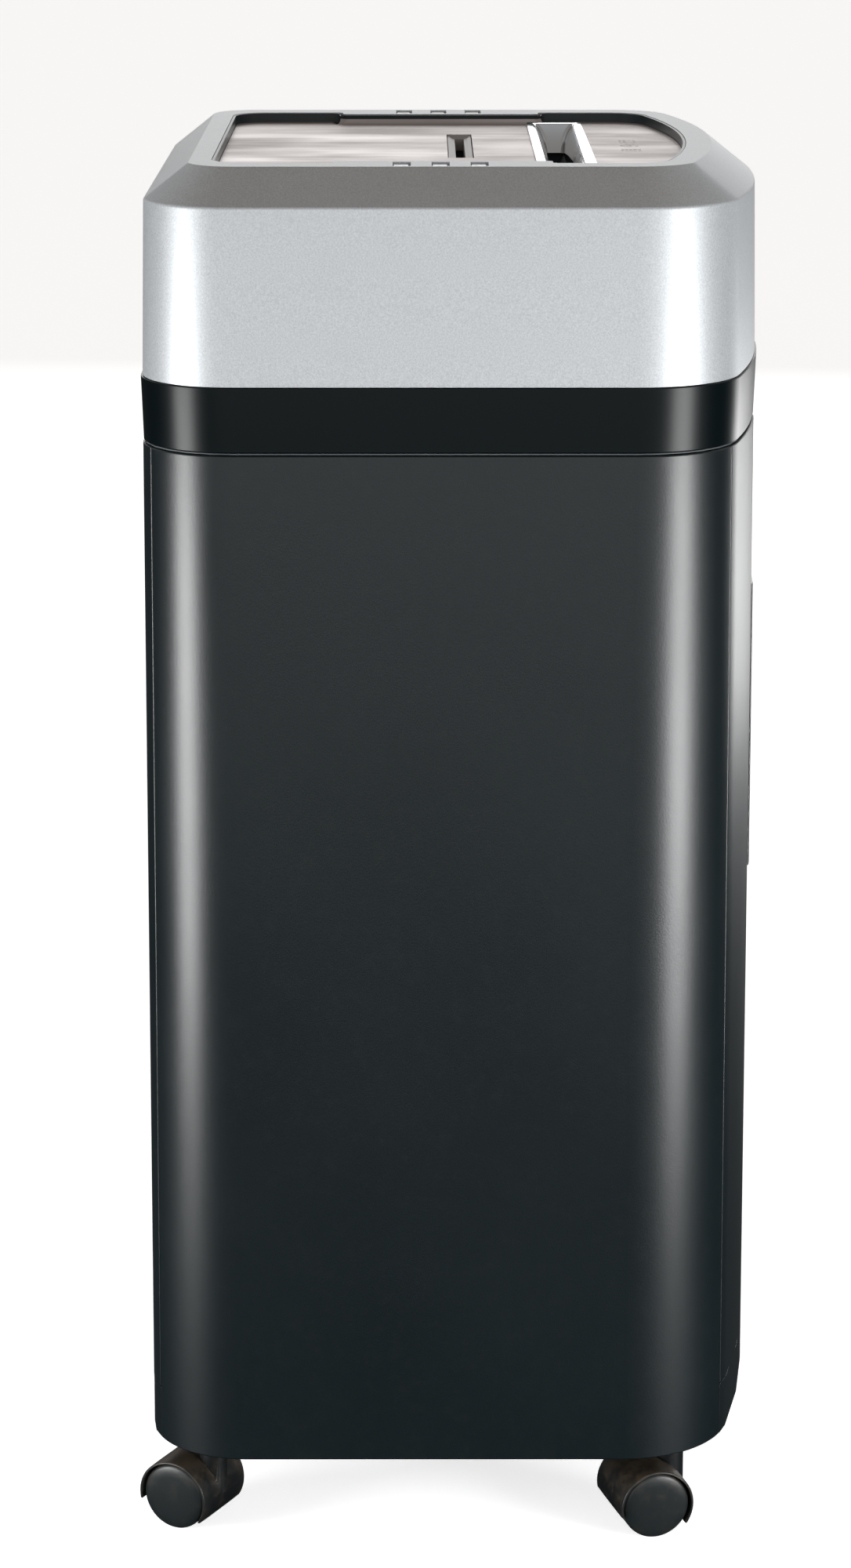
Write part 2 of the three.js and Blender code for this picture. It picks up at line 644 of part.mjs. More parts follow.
function binFront() {
  const halfWidth = FRONT_SEAM_X - SEAM;
  let body = cabinetShell(SKIRT_Z, CABINET_Z);
  body = body.intersect(block([-halfWidth, halfWidth], [-FAR, 0], [0, FAR * 2]));
  const through = [-FAR, -CASING.front / 2];
  const halfWindow = WINDOW_WIDTH / 2;
  const halfGrip = GRIP_WIDTH / 2 + GAP;
  body = body.subtract(block([-halfWindow, halfWindow], through, [WINDOW_BOTTOM_Z, WINDOW_TOP_Z]));
  const notch = [GRIP_TOP_Z - GRIP_HEIGHT - GAP, CABINET_Z + OVERSHOOT];
  body = body.subtract(block([-halfGrip, halfGrip], through, notch));
  return piece('bin_front', body, BLACK_PLASTIC());
}

/** Clear plate let into the bin front and standing a little proud of it. */
function binWindow() {
  const half = WINDOW_WIDTH / 2 - GAP;
  const z = [WINDOW_BOTTOM_Z + GAP, WINDOW_TOP_Z - GAP];
  const outer = cabinetCore(-WINDOW_PROUD, z[0], z[1]);
  const inner = cabinetCore(WINDOW_BACK, z[0] - OVERSHOOT, z[1] + OVERSHOOT);
  const body = outer.subtract(inner).intersect(block([-half, half], [-FAR, 0], z));
  return piece('bin_window', body, TINTED_CLEAR());
}

/** Finger cup in the top edge of the bin front, open to the front and hooked at its lip. */
function binGrip() {
  const half = GRIP_WIDTH / 2;
  const z = [GRIP_TOP_Z - GRIP_HEIGHT, GRIP_TOP_Z];
  const backY = bowFaceY(half) + GRIP_DEPTH;
  const outer = cabinetCore(0, z[0], z[1]).intersect(block([-half, half], [-FAR, backY], z));
  const hollow = block(
    [-half + GRIP_WALL, half - GRIP_WALL],
    [-FAR, backY - GRIP_WALL],
    [z[0] + GRIP_WALL, z[1] - GRIP_WALL],
  );
  return piece('bin_grip', outer.subtract(hollow), TRIM_PLASTIC());
}

/** Open-topped bin behind the bin front. */
function wasteBin() {
  const outer = pad([0, 2 * BIN_HALF_WIDTH], [BIN_MIDDLE_Y, BIN_DEPTH], [BIN_FLOOR_Z, BIN_RIM_Z]);
  const hollow = pad(
    [0, 2 * (BIN_HALF_WIDTH - BIN_WALL)],
    [BIN_MIDDLE_Y, BIN_DEPTH - 2 * BIN_WALL],
    [BIN_FLOOR_Z + BIN_WALL, BIN_RIM_Z + OVERSHOOT],
  );
  return piece('waste_bin', outer.subtract(hollow), GREY_PLASTIC());
}

// ---------------------------------------------------------------- rear fittings

function powerInlet() {
  const z = [FITTING_Z - INLET_HEIGHT / 2, FITTING_Z + INLET_HEIGHT / 2];
  const rear = CASING.rear + flareAt(FITTING_Z);
  const x = [INLET_X - INLET_WIDTH / 2, INLET_X + INLET_WIDTH / 2];
  const shellDepth = 18;
  const rim = 2.5;
  const body = block(x, [rear - shellDepth, rear], z);
  const well = block([x[0] + rim, x[1] - rim], [rear - shellDepth + rim, rear + 1], [z[0] + rim, z[1] - rim]);
  return piece('power_inlet', body.subtract(well), TRIM_PLASTIC());
}

/** Rocker, modelled in its off position. */
function rockerSwitch() {
  const y = CASING.rear + flareAt(FITTING_Z) - WALL;
  const halfHeight = SWITCH_HEIGHT / 2 - 1;
  const halfWidth = SWITCH_WIDTH / 2 - 1;
  const points = [[-4, -4], [1.2, -halfHeight], [3, -halfHeight], [1.6, 0]];
  points.push([3, halfHeight], [1.2, halfHeight], [-4, 4]);
  const mesh = piece('rocker_switch', profileX(points, [-halfWidth, halfWidth]), TRIM_PLASTIC());
  mesh.position.set(SWITCH_X, y, FITTING_Z);
  mesh.rotation.x = SWITCH_TILT;
  return mesh;
}

// ---------------------------------------------------------------- cutting block

const PLATE_X = PAPER_WIDTH / 2 + PLATE_CLEARANCE;
const FRONT_SHAFT_Y = NIP_Y - CUTTER_CENTRES / 2;
const REAR_SHAFT_Y = NIP_Y + CUTTER_CENTRES / 2;
const PLATE_OUTER_X = PLATE_X + PLATE_THICKNESS;
const GEAR_X = PLATE_OUTER_X + 2 * GEAR_PLANE_GAP;
const OUTER_GEAR_X = GEAR_X + GEAR_WIDTH + GEAR_PLANE_GAP;
const SHAFT_Z = RIM_Z - SHAFT_DROP;
const SYNC_RADIUS = CUTTER_CENTRES / 2;
const CORE_RADIUS = CUTTER_CENTRES - CUTTER_RADIUS - CUTTER_TIP_CLEARANCE;
const CUTTER_COUNT = Math.floor(PAPER_WIDTH / CUTTER_PITCH);
const REDUCTION_Y = REAR_SHAFT_Y + SYNC_RADIUS + REDUCTION_SMALL_TEETH * SYNC_MODULE / 2;
const PINION_Y = REDUCTION_Y + (REDUCTION_LARGE_TEETH + PINION_TEETH) * MOTOR_MODULE / 2;
const PLATE_REAR_Y = PINION_Y + PLATE_REAR_MARGIN;
const CHUTE_BOTTOM_Z = SHAFT_Z + CUTTER_RADIUS + CHUTE_TO_CUTTERS;

/** Middle of each cutter disc along one drum; `shift` staggers the other drum by half a pitch. */
function discCentres(shift) {
  const first = -CUTTER_PITCH * (CUTTER_COUNT - 1) / 2;
  return Array.from({ length: CUTTER_COUNT }, (_, i) => first + i * CUTTER_PITCH + shift);
}

const STAGGER = { front: -CUTTER_PITCH / 4, rear: CUTTER_PITCH / 4 };

/** Shaft with its row of cutting discs, turned in one piece. */
function cutterDrum(name, y, shift) {
  const end = GEAR_X + GEAR_WIDTH;
  const coreEnd = PLATE_X - 1;
  const profile = [[0, -PLATE_OUTER_X], [JOURNAL_RADIUS, -PLATE_OUTER_X], [JOURNAL_RADIUS, -coreEnd]];
  profile.push([CORE_RADIUS, -coreEnd]);
  for (const x of discCentres(shift)) {
    const near = x - CUTTER_THICKNESS / 2;
    const far = x + CUTTER_THICKNESS / 2;
    profile.push([CORE_RADIUS, near], [CUTTER_RADIUS, near], [CUTTER_RADIUS, far], [CORE_RADIUS, far]);
  }
  profile.push([CORE_RADIUS, coreEnd], [JOURNAL_RADIUS, coreEnd], [JOURNAL_RADIUS, end], [0, end]);
  const mesh = piece(name, turnedX(profile, 12), STEEL());
  mesh.position.set(0, y, SHAFT_Z);
  return mesh;
}

/** Comb whose fingers reach between the discs and strip the shreds; `side` is -1 in front. */
function stripperComb(name, shaftY, shift, side) {
  const length = PLATE_X - GAP;
  const tip = CORE_RADIUS + 1;
  const root = CUTTER_RADIUS + 1.2;
  const back = root + COMB_BAR;
  const fingerHalf = (CUTTER_PITCH - CUTTER_THICKNESS) / 2 - FINGER_SIDE_CLEARANCE;
  const points = [new THREE.Vector2(-length, back), new THREE.Vector2(-length, root)];
  for (const x of discCentres(shift).slice(1)) {
    const middle = x - CUTTER_PITCH / 2;
    points.push(
      new THREE.Vector2(middle - fingerHalf, root),
      new THREE.Vector2(middle - fingerHalf, tip),
      new THREE.Vector2(middle + fingerHalf, tip),
      new THREE.Vector2(middle + fingerHalf, root),
    );
  }
  points.push(new THREE.Vector2(length, root), new THREE.Vector2(length, back));
  const geometry = new THREE.ExtrudeGeometry(new THREE.Shape(points), {
    depth: COMB_THICKNESS,
    bevelEnabled: false,
  });
  geometry.translate(0, 0, -COMB_THICKNESS / 2);
  if (side < 0) {
    geometry.rotateX(Math.PI);
  }
  const mesh = piece(name, solid(geometry), STEEL());
  mesh.position.set(0, shaftY, SHAFT_Z);
  return mesh;
}

// Tie bars, [name, y, z]: each lies outside the discs and below the shafts.
const TIES = [
  ['tie_bar_front', FRONT_SHAFT_Y - 13.6, SHAFT_Z - CUTTER_RADIUS - 3 * TIE_RADIUS],
  ['tie_bar_rear', REAR_SHAFT_Y + CUTTER_RADIUS + 2 * TIE_RADIUS, SHAFT_Z - CUTTER_RADIUS - 4 * TIE_RADIUS],
];

/** Steel side plate bored for both shafts, the tie bars and, on the right, the gear stud. */
function sidePlate(name, side) {
  const inner = side * PLATE_X;
  const outer = side * PLATE_OUTER_X;
  const x = [Math.min(inner, outer), Math.max(inner, outer)];
  const hole = [x[0] - 1, x[1] + 1];
  const y = [FRONT_SHAFT_Y - PLATE_FRONT_MARGIN, PLATE_REAR_Y];
  let body = block(x, y, [DECK_TOP_Z + GAP, SHAFT_Z + PLATE_TOP_MARGIN]);
  for (const shaftY of [FRONT_SHAFT_Y, REAR_SHAFT_Y]) {
    body = body.subtract(barX(JOURNAL_RADIUS + 2 * GAP, hole, shaftY, SHAFT_Z));
  }
  for (const [, tieY, tieZ] of TIES) {
    body = body.subtract(barX(TIE_RADIUS + GAP, hole, tieY, tieZ));
  }
  if (side > 0) {
    body = body.subtract(barX(STUD_RADIUS + GAP, hole, REDUCTION_Y, SHAFT_Z));
    body = body.subtract(barX(MOTOR_SHAFT_RADIUS + 2 * GAP, hole, PINION_Y, SHAFT_Z));
  }
  return piece(name, body, STEEL());
}

function tieBar([name, y, z]) {
  return piece(name, barX(TIE_RADIUS, [-PLATE_OUTER_X, PLATE_OUTER_X], y, z), STEEL());
}

/** Sloping chute from a slot in the top down to the cutters, open at both ends. */
function chute(name, topY, topZ, length, channel, bottomY) {
  const slantedBox = (half, x) => profileX(
    [
      [topY - half, topZ],
      [bottomY - half, CHUTE_BOTTOM_Z],
      [bottomY + half, CHUTE_BOTTOM_Z],
      [topY + half, topZ],
    ],
    [-x, x],
  );
  const outer = slantedBox(channel / 2 + CHUTE_WALL, length / 2 + CHUTE_WALL);
  const inner = slantedBox(channel / 2, length / 2);
  const mouths = pad([0, length], [topY, channel], [topZ - 0.5, topZ + 1]).add(
    pad([0, length], [bottomY, channel], [CHUTE_BOTTOM_Z - 1, CHUTE_BOTTOM_Z + 0.5]),
  );
  return piece(name, outer.subtract(inner).subtract(mouths), GREY_PLASTIC());
}

function chutes() {
  const throatBottom = PANEL_Z + GAP + THROAT_FLANGE - THROAT_DEPTH;
  const bezelBottom = PANEL_Z - BEZEL_SINK - BEZEL_DEPTH;
  const paperBottomY = NIP_Y - PAPER_CHANNEL / 2 - CHUTE_WALL - CHUTE_APART;
  const discBottomY = NIP_Y + DISC_CHANNEL / 2 + CHUTE_WALL + CHUTE_APART;
  const paperLength = PAPER_WIDTH - 2;
  const discLength = DISC_LENGTH + 3.5;
  return [
    chute('paper_chute', THROAT_Y, throatBottom - GAP, paperLength, PAPER_CHANNEL, paperBottomY),
    chute('disc_chute', DISC_Y, bezelBottom - GAP, discLength, DISC_CHANNEL, discBottomY),
  ];
}

// ---------------------------------------------------------------- gears and motor

/** Tooth outline of a spur gear with straight flanks inside the involute, and a round bore. */
function gear(teeth, module, width, bore, turn) {
  const pitch = teeth * module / 2;
  const root = pitch - 1.2 * module;
  const tip = pitch + 0.85 * module;
  const base = pitch * Math.cos(THREE.MathUtils.degToRad(20));
  const involute = (radius) => {
    const pressure = Math.acos(Math.min(1, base / radius));
    return Math.tan(pressure) - pressure;
  };
  const pitchHalf = 0.86 * Math.PI / (2 * teeth) + involute(pitch);
  const shape = new THREE.Shape();
  const points = [];
  for (let tooth = 0; tooth < teeth; tooth += 1) {
    const middle = turn + 2 * Math.PI * tooth / teeth;
    for (const [radius, side] of [[root, -1], [tip, -1], [tip, 1], [root, 1]]) {
      const angle = middle + side * (pitchHalf - involute(radius));
      points.push(new THREE.Vector2(radius * Math.cos(angle), radius * Math.sin(angle)));
    }
  }
  shape.setFromPoints(points);
  const hole = new THREE.Path();
  hole.absarc(0, 0, bore, 0, 2 * Math.PI, true);
  shape.holes.push(hole);
  const geometry = new THREE.ExtrudeGeometry(shape, {
    depth: width,
    bevelEnabled: false,
    curveSegments: 6,
  });
  const toYZX = new THREE.Matrix4().makeBasis(
    new THREE.Vector3(0, 1, 0),
    new THREE.Vector3(0, 0, 1),
    new THREE.Vector3(1, 0, 0),
  );
  geometry.applyMatrix4(toYZX);
  return solid(geometry);
}

/** Turn of a gear in mesh behind another (at +Y from it), so that a tooth meets a gap. */
function meshedTurn(otherTeeth, otherTurn, teeth) {
  const phase = (-otherTurn * otherTeeth) / (2 * Math.PI);
  return Math.PI - (0.5 - phase) * 2 * Math.PI / teeth;
}

const FRONT_SYNC_TURN = 0;
const REAR_SYNC_TURN = meshedTurn(SYNC_TEETH, FRONT_SYNC_TURN, SYNC_TEETH);
const REDUCTION_TURN = meshedTurn(SYNC_TEETH, REAR_SYNC_TURN, REDUCTION_SMALL_TEETH);
const LARGE_TURN = 0;
const PINION_TURN = meshedTurn(REDUCTION_LARGE_TEETH, LARGE_TURN, PINION_TEETH);

function syncGear(name, y, turn) {
  const body = gear(SYNC_TEETH, SYNC_MODULE, GEAR_WIDTH, JOURNAL_RADIUS + GAP, turn);
  const mesh = piece(name, body, STEEL());
  mesh.position.set(GEAR_X, y, SHAFT_Z);
  return mesh;
}

/** Moulded double gear: small teeth on the drums' plane, large teeth on the motor's plane. */
function reductionGear() {
  const bore = STUD_RADIUS + GAP;
  const small = gear(REDUCTION_SMALL_TEETH, SYNC_MODULE, OUTER_GEAR_X - GEAR_X + 1, bore, REDUCTION_TURN);
  const large = gear(REDUCTION_LARGE_TEETH, MOTOR_MODULE, GEAR_WIDTH, bore, LARGE_TURN);
  const body = small.add(large.translate([OUTER_GEAR_X - GEAR_X, 0, 0]));
  const mesh = piece('reduction_gear', body, GEAR_PLASTIC());
  mesh.position.set(GEAR_X, REDUCTION_Y, SHAFT_Z);
  return mesh;
}

function gearStud() {
  const end = OUTER_GEAR_X + GEAR_WIDTH + 2;
  return piece('gear_stud', barX(STUD_RADIUS, [PLATE_X, end], REDUCTION_Y, SHAFT_Z), STEEL());
}

/** Motor can with a stepped end bell against the right-hand plate. */
function motorBody() {
  const end = PLATE_X - GAP;
  const bell = end - BELL_LENGTH;
  const bore = MOTOR_SHAFT_RADIUS + 2 * GAP;
  const profile = [
    [bore, end - MOTOR_LENGTH],
    [MOTOR_RADIUS, end - MOTOR_LENGTH],
    [MOTOR_RADIUS, bell],
    [BELL_RADIUS, bell],
    [BELL_RADIUS, end],
    [bore, end],
    [bore, end - MOTOR_LENGTH],
  ];
  const mesh = piece('motor_body', turnedX(profile, 16), GREY_PLASTIC());
  mesh.position.set(0, PINION_Y, SHAFT_Z);
  return mesh;
}

/** Motor shaft with its pinion outside the plate and a bladed cooling fan behind the can. */
function motorPinion() {
  const fanEnd = PLATE_X - GAP - MOTOR_LENGTH - FAN_CLEARANCE;
  const fanX = [fanEnd - FAN_THICKNESS, fanEnd];
  const shaft = barX(MOTOR_SHAFT_RADIUS, [fanX[0] + GAP, OUTER_GEAR_X + GEAR_WIDTH], 0, 0);
  let fan = barX(FAN_RADIUS, fanX, 0, 0, 32);
  for (let blade = 0; blade < FAN_BLADES; blade += 1) {
    const slot = block(
      [fanX[0] - OVERSHOOT, fanX[1] + OVERSHOOT],
      [-FAN_SLOT / 2, FAN_SLOT / 2],
      [FAN_HUB_RADIUS, FAN_RADIUS + OVERSHOOT],
    );
    fan = fan.subtract(slot.rotate([360 * blade / FAN_BLADES, 0, 0]));
  }
  const teeth = gear(PINION_TEETH, MOTOR_MODULE, GEAR_WIDTH, MOTOR_SHAFT_RADIUS - 0.5, PINION_TURN);
  const rotor = shaft.add(fan).add(teeth.translate([OUTER_GEAR_X, 0, 0]));
  const mesh = piece('motor_pinion', rotor, STEEL());
  mesh.position.set(0, PINION_Y, SHAFT_Z);
  return mesh;
}

/** Circuit board on edge behind the cutting block, with its transformer and capacitors. */
function controlBoard() {
  const y = PLATE_REAR_Y + BOARD_CLEARANCE + 12;
  const board = block([-150, -50], [y, y + 1.6], [DECK_TOP_Z + GAP, DECK_TOP_Z + 76]);
  const transformer = block([-140, -108], [y - 26, y + 0.8], [DECK_TOP_Z + 8, DECK_TOP_Z + 40]);
  const relay = block([-98, -80], [y - 16, y + 0.8], [DECK_TOP_Z + 12, DECK_TOP_Z + 30]);
  const capacitor = block([-72, -58], [y - 18, y + 0.8], [DECK_TOP_Z + 14, DECK_TOP_Z + 28]);
  const heatSink = block([-96, -60], [y - 12, y + 0.8], [DECK_TOP_Z + 46, DECK_TOP_Z + 64]);
  const body = board.add(transformer).add(relay).add(capacitor).add(heatSink);
  return piece('control_board', body, BOARD_GREEN());
}

// ---------------------------------------------------------------- casters

/** Hood in the caster's own frame: a barrel over both wheels, a middle web and a stem boss. */
function casterHood(name) {
  const half = HUB_WEB + WHEEL_WIDTH + 1.2;
  const inner = WHEEL_RADIUS + WHEEL_CLEARANCE;
  const y = CASTER_TRAIL;
  const bossTop = HOOD_TOP + BOSS_RISE;
  const barrel = barX(HOOD_RADIUS, [-half, half], y, WHEEL_RADIUS, 24);
  const boss = barZ(BOSS_RADIUS, [WHEEL_RADIUS, bossTop], 0, 0);
  const neck = block([-BOSS_RADIUS, BOSS_RADIUS], [0, y], [WHEEL_RADIUS, HOOD_TOP - 4]);
  const web = [-HUB_WEB, HUB_WEB];
  let body = barrel.add(neck).add(boss);
  for (const [x0, x1] of [[-half - 1, -HUB_WEB], [HUB_WEB, half + 1]]) {
    body = body.subtract(barX(inner, [x0, x1], y, WHEEL_RADIUS, 24));
  }
  body = body.subtract(barX(AXLE_RADIUS + GAP, [web[0] - 1, web[1] + 1], y, WHEEL_RADIUS));
  body = body.subtract(barZ(STEM_RADIUS + GAP, [WHEEL_RADIUS + 6, bossTop + 1], 0, 0));
  // The open underside slopes down from behind the wheels to the stem side.
  const rearZ = WHEEL_RADIUS - 4;
  const frontZ = WHEEL_RADIUS - 13;
  const low = [[y + FAR, -FAR], [y + FAR, rearZ], [y + HOOD_RADIUS, rearZ], [y - HOOD_RADIUS, frontZ]];
  low.push([y - FAR, frontZ], [y - FAR, -FAR]);
  body = body.subtract(profileX(low, [-half - 1, half + 1]));
  return piece(name, body, BLACK_PLASTIC());
}

/** Wheel with a domed cap on its outer face and a blind bore for the axle; `side` is -1 or 1. */
function casterWheel(name, side) {
  const inner = HUB_WEB + 0.4;
  const outer = HUB_WEB + WHEEL_WIDTH;
  const bore = AXLE_RADIUS + GAP;
  const profile = [
    [0, outer + 0.9],
    [WHEEL_RADIUS - 7, outer + 0.6],
    [WHEEL_RADIUS - 2.4, outer],
    [WHEEL_RADIUS - 0.6, outer - 1.4],
    [WHEEL_RADIUS, outer - 3],
    [WHEEL_RADIUS, inner + 1.5],
    [WHEEL_RADIUS - 1.5, inner],
    [bore, inner],
    [bore, outer - 2],
    [0, outer - 2],
  ].reverse();
  const mesh = piece(name, turnedX(profile, 28), BLACK_PLASTIC());
  mesh.position.set(0, CASTER_TRAIL, WHEEL_RADIUS);
  mesh.rotation.y = side < 0 ? Math.PI : 0;
  return mesh;
}

function caster([name, x, y, angle]) {
  const group = new THREE.Group();
  const axleHalf = HUB_WEB + WHEEL_WIDTH - 2.4;
  const axle = barX(AXLE_RADIUS, [-axleHalf, axleHalf], CASTER_TRAIL, WHEEL_RADIUS);
  const stem = barZ(STEM_RADIUS, [WHEEL_RADIUS + 6 + GAP, BASE_Z + STEM_SOCKET], 0, 0);
  group.add(
    piece(`caster_stem_${name}`, stem, STEEL()),
    casterHood(`caster_hood_${name}`),
    piece(`caster_axle_${name}`, axle, STEEL()),
    casterWheel(`caster_wheel_${name}_a`, -1),
    casterWheel(`caster_wheel_${name}_b`, 1),
  );
  group.position.set(x, y, 0);
  group.rotation.z = THREE.MathUtils.degToRad(angle);
  return group;
}

// ---------------------------------------------------------------- assembly

const shredder = new THREE.Group();
shredder.name = 'paper_shredder';

const head = new THREE.Group();
head.add(headHousing(), panelSurround(), topPanel(), feedThroat(), discBezel());
for (const side of [-1, 1]) {
  for (let index = 0; index < 3; index += 1) {
    head.add(rimCap(side, index));
  }
}

const cabinet = new THREE.Group();
cabinet.add(collarFrame(), mechanismDeck(), basePan(), rearPanel(), powerInlet(), rockerSwitch());
cabinet.add(sidePanel('side_panel_left', -1), sidePanel('side_panel_right', 1));

const bin = new THREE.Group();
bin.add(binFront(), binWindow(), binGrip(), wasteBin());

const cutters = new THREE.Group();
cutters.add(
  cutterDrum('cutter_drum_front', FRONT_SHAFT_Y, STAGGER.front),
  cutterDrum('cutter_drum_rear', REAR_SHAFT_Y, STAGGER.rear),
  stripperComb('stripper_comb_front', FRONT_SHAFT_Y, STAGGER.front, -1),
  stripperComb('stripper_comb_rear', REAR_SHAFT_Y, STAGGER.rear, 1),
  sidePlate('side_plate_left', -1),
  sidePlate('side_plate_right', 1),
  ...TIES.map(tieBar),
  ...chutes(),
);

const drive = new THREE.Group();
drive.add(
  syncGear('sync_gear_front', FRONT_SHAFT_Y, FRONT_SYNC_TURN),
  syncGear('sync_gear_rear', REAR_SHAFT_Y, REAR_SYNC_TURN),
  reductionGear(),
  gearStud(),
  motorBody(),
  motorPinion(),
  controlBoard(),
);

shredder.add(head, cabinet, bin, cutters, drive, ...CASTERS.map(caster));

// The origin is the bottom centre of the whole object's box, trailing casters included.
const extent = new THREE.Box3().setFromObject(shredder, true);
shredder.position.y = -(extent.min.y + extent.max.y) / 2;

export default shredder;
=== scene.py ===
# %% [markdown]
# # A deskside paper shredder, dressed for a studio view
#
# The working model of this shredder already exists as plain faceted solids: a painted head, a
# black cabinet with a pull-out bin, a cutting block inside, and four twin-wheel casters. This
# lesson keeps every size and every joint of that model, and adds what a maker would call the
# finish: rounded edges, curved walls that are truly smooth, and materials with grain and dust.
# The first cell loads the working model.

# %% load the working model
import json
import math

import bmesh
import bpy
from mathutils import Matrix, Vector


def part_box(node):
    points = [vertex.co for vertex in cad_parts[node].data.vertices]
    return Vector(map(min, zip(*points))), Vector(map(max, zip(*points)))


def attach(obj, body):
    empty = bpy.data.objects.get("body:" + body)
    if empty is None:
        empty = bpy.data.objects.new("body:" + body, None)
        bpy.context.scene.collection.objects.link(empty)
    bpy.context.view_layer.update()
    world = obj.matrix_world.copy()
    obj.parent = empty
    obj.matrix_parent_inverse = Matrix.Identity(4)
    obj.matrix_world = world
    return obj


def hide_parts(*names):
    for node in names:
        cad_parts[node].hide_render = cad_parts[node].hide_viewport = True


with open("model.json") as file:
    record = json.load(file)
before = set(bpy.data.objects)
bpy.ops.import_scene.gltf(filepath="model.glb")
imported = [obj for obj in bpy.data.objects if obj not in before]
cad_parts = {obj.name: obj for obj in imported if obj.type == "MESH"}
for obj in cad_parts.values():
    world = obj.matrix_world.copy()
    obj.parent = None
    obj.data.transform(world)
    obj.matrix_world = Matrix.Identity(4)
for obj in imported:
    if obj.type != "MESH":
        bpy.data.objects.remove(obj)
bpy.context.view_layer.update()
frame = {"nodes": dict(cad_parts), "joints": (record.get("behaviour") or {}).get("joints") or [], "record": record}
MM = 0.001

# %% [markdown]
# ## The camera
#
# The view is square on to the left side of the shredder and a little above it, so the top
# panel is seen at a low angle and the bowed bin front shows at the right.
# The lens is long, because a long lens keeps the upright edges almost parallel. The camera is
# placed first, so that every later choice can be looked at through it.

# %% camera
CAMERA_PLACE = Vector((-2.286, 0.015, 1.018))
CAMERA_PITCH = math.radians(14.91)
CAMERA_YAW = math.radians(0.055)
CAMERA_LENS = 90.45

bpy.ops.object.camera_add(location=CAMERA_PLACE)
camera = bpy.context.object
camera.name = "camera"
camera.data.lens = CAMERA_LENS
camera.data.sensor_width = 36
camera.data.clip_start = 0.05
camera.rotation_euler = (math.pi / 2 - CAMERA_PITCH, 0, -math.pi / 2 - CAMERA_YAW)
bpy.context.scene.camera = camera
print("camera at", tuple(CAMERA_PLACE), "lens", CAMERA_LENS)

# %% [markdown]
# ## Sizes taken from the working model
#
# Heights and widths are read from the boxes of the solids, so that this file follows the model
# when it changes. The only numbers written here are the radii of corners and the small steps
# that a box can't tell. `MIDDLE_Y` is the middle of the casing: the whole model's origin lies a
# little to the front of it, because one caster trails out at the rear.

# %% sizes from the boxes
head_low, head_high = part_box("head_housing")
collar_low, collar_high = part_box("collar_frame")
side_low, side_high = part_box("side_panel_left")
rear_low, rear_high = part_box("rear_panel")
front_low, front_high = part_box("bin_front")
panel_low, panel_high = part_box("top_panel")
throat_low, throat_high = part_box("feed_throat")
bezel_low, bezel_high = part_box("disc_slot_bezel")

MIDDLE_Y = (head_low.y + head_high.y) / 2
BASE_Z = side_low.z
CABINET_Z = side_high.z
SKIRT_Z = rear_low.z
COLLAR_Z = collar_low.z
COLLAR_TOP_Z = collar_high.z
HEAD_Z = head_low.z
RIM_Z = head_high.z
PANEL_Z = panel_high.z
SHOULDER_Z = RIM_Z - 19.3 * MM
HEAD_BOTTOM_GROWTH = -0.3 * MM
CASING_HALF = head_high.x - HEAD_BOTTOM_GROWTH
BASE_FLARE = 4 * MM
REAR_SEAM_X = rear_high.x + 0.8 * MM
FRONT_SEAM_X = front_high.x + 0.8 * MM
print("casing half width", round(CASING_HALF, 4), "middle", round(MIDDLE_Y, 5), "rim at", round(RIM_Z, 4))

# %% [markdown]
# ## The outline that everything follows
#
# Seen from above, the casing is a rectangle with round corners whose front side bulges gently
# forward. Every casing part repeats this outline, a little larger or smaller at each height, so
# it is written once as a function. Straight lines need two points and round stretches are real
# arcs with many short steps, which is why the finished walls reflect the light without facets.

# %% outline functions
CORNER_STEPS = 14
BOW_STEPS = 36


class Outline:
    """Half width, rear and front reach, corner radii and the radius of the bowed front."""

    def __init__(self, half, rear, front, rear_corner, front_corner, bow):
        self.half = half
        self.rear = rear
        self.front = front
        self.rear_corner = rear_corner
        self.front_corner = front_corner
        self.bow = bow


CASING = Outline(CASING_HALF, 172.9 * MM, 172.9 * MM, 52 * MM, 60 * MM, 600 * MM)


def arc(centre, radius, start, end, steps):
    """Points on an arc, angles in radians, both ends included."""
    points = []
    for step in range(steps + 1):
        angle = start + (end - start) * step / steps
        points.append(Vector((centre[0] + radius * math.cos(angle), centre[1] + radius * math.sin(angle))))
    return points


def front_geometry(shape, growth):
    """Turn of the bow at the corners, its centre, and the centres of the front corners."""
    half = shape.half + growth
    corner = shape.front_corner + growth
    bow = shape.bow + growth
    bow_y = shape.bow - shape.front
    turn = math.asin((half - corner) / (bow - corner))
    return turn, bow_y, half - corner, bow_y - (bow - corner) * math.cos(turn), corner, bow


def rear_arc(shape, growth, side, seam_x=None):
    """The rear corner of one side from the seam, or from the flat rear, round to the side face."""
    corner = shape.rear_corner + growth
    centre = (shape.half + growth - corner, shape.rear + growth - corner)
    start = math.pi / 2
    if seam_x is not None:
        start = math.acos((seam_x - centre[0]) / corner)
    points = arc(centre, corner, start, 0, CORNER_STEPS)
    return [Vector((side * p.x, p.y)) for p in points]


def front_arc(shape, growth, side, seam_x=None):
    """The front corner of one side from the side face round to the bow, or only to the seam."""
    turn, _, centre_x, centre_y, corner, _ = front_geometry(shape, growth)
    end = -math.pi / 2 + turn
    if seam_x is not None:
        end = -math.acos((seam_x - centre_x) / corner)
    points = arc((centre_x, centre_y), corner, 0, end, CORNER_STEPS)
    return [Vector((side * p.x, p.y)) for p in points]


def bow_arc(shape, growth):
    """The bowed front from the left corner to the right one."""
    turn, bow_y, _, _, _, bow = front_geometry(shape, growth)
    return arc((0, bow_y), bow, -math.pi / 2 - turn, -math.pi / 2 + turn, BOW_STEPS)


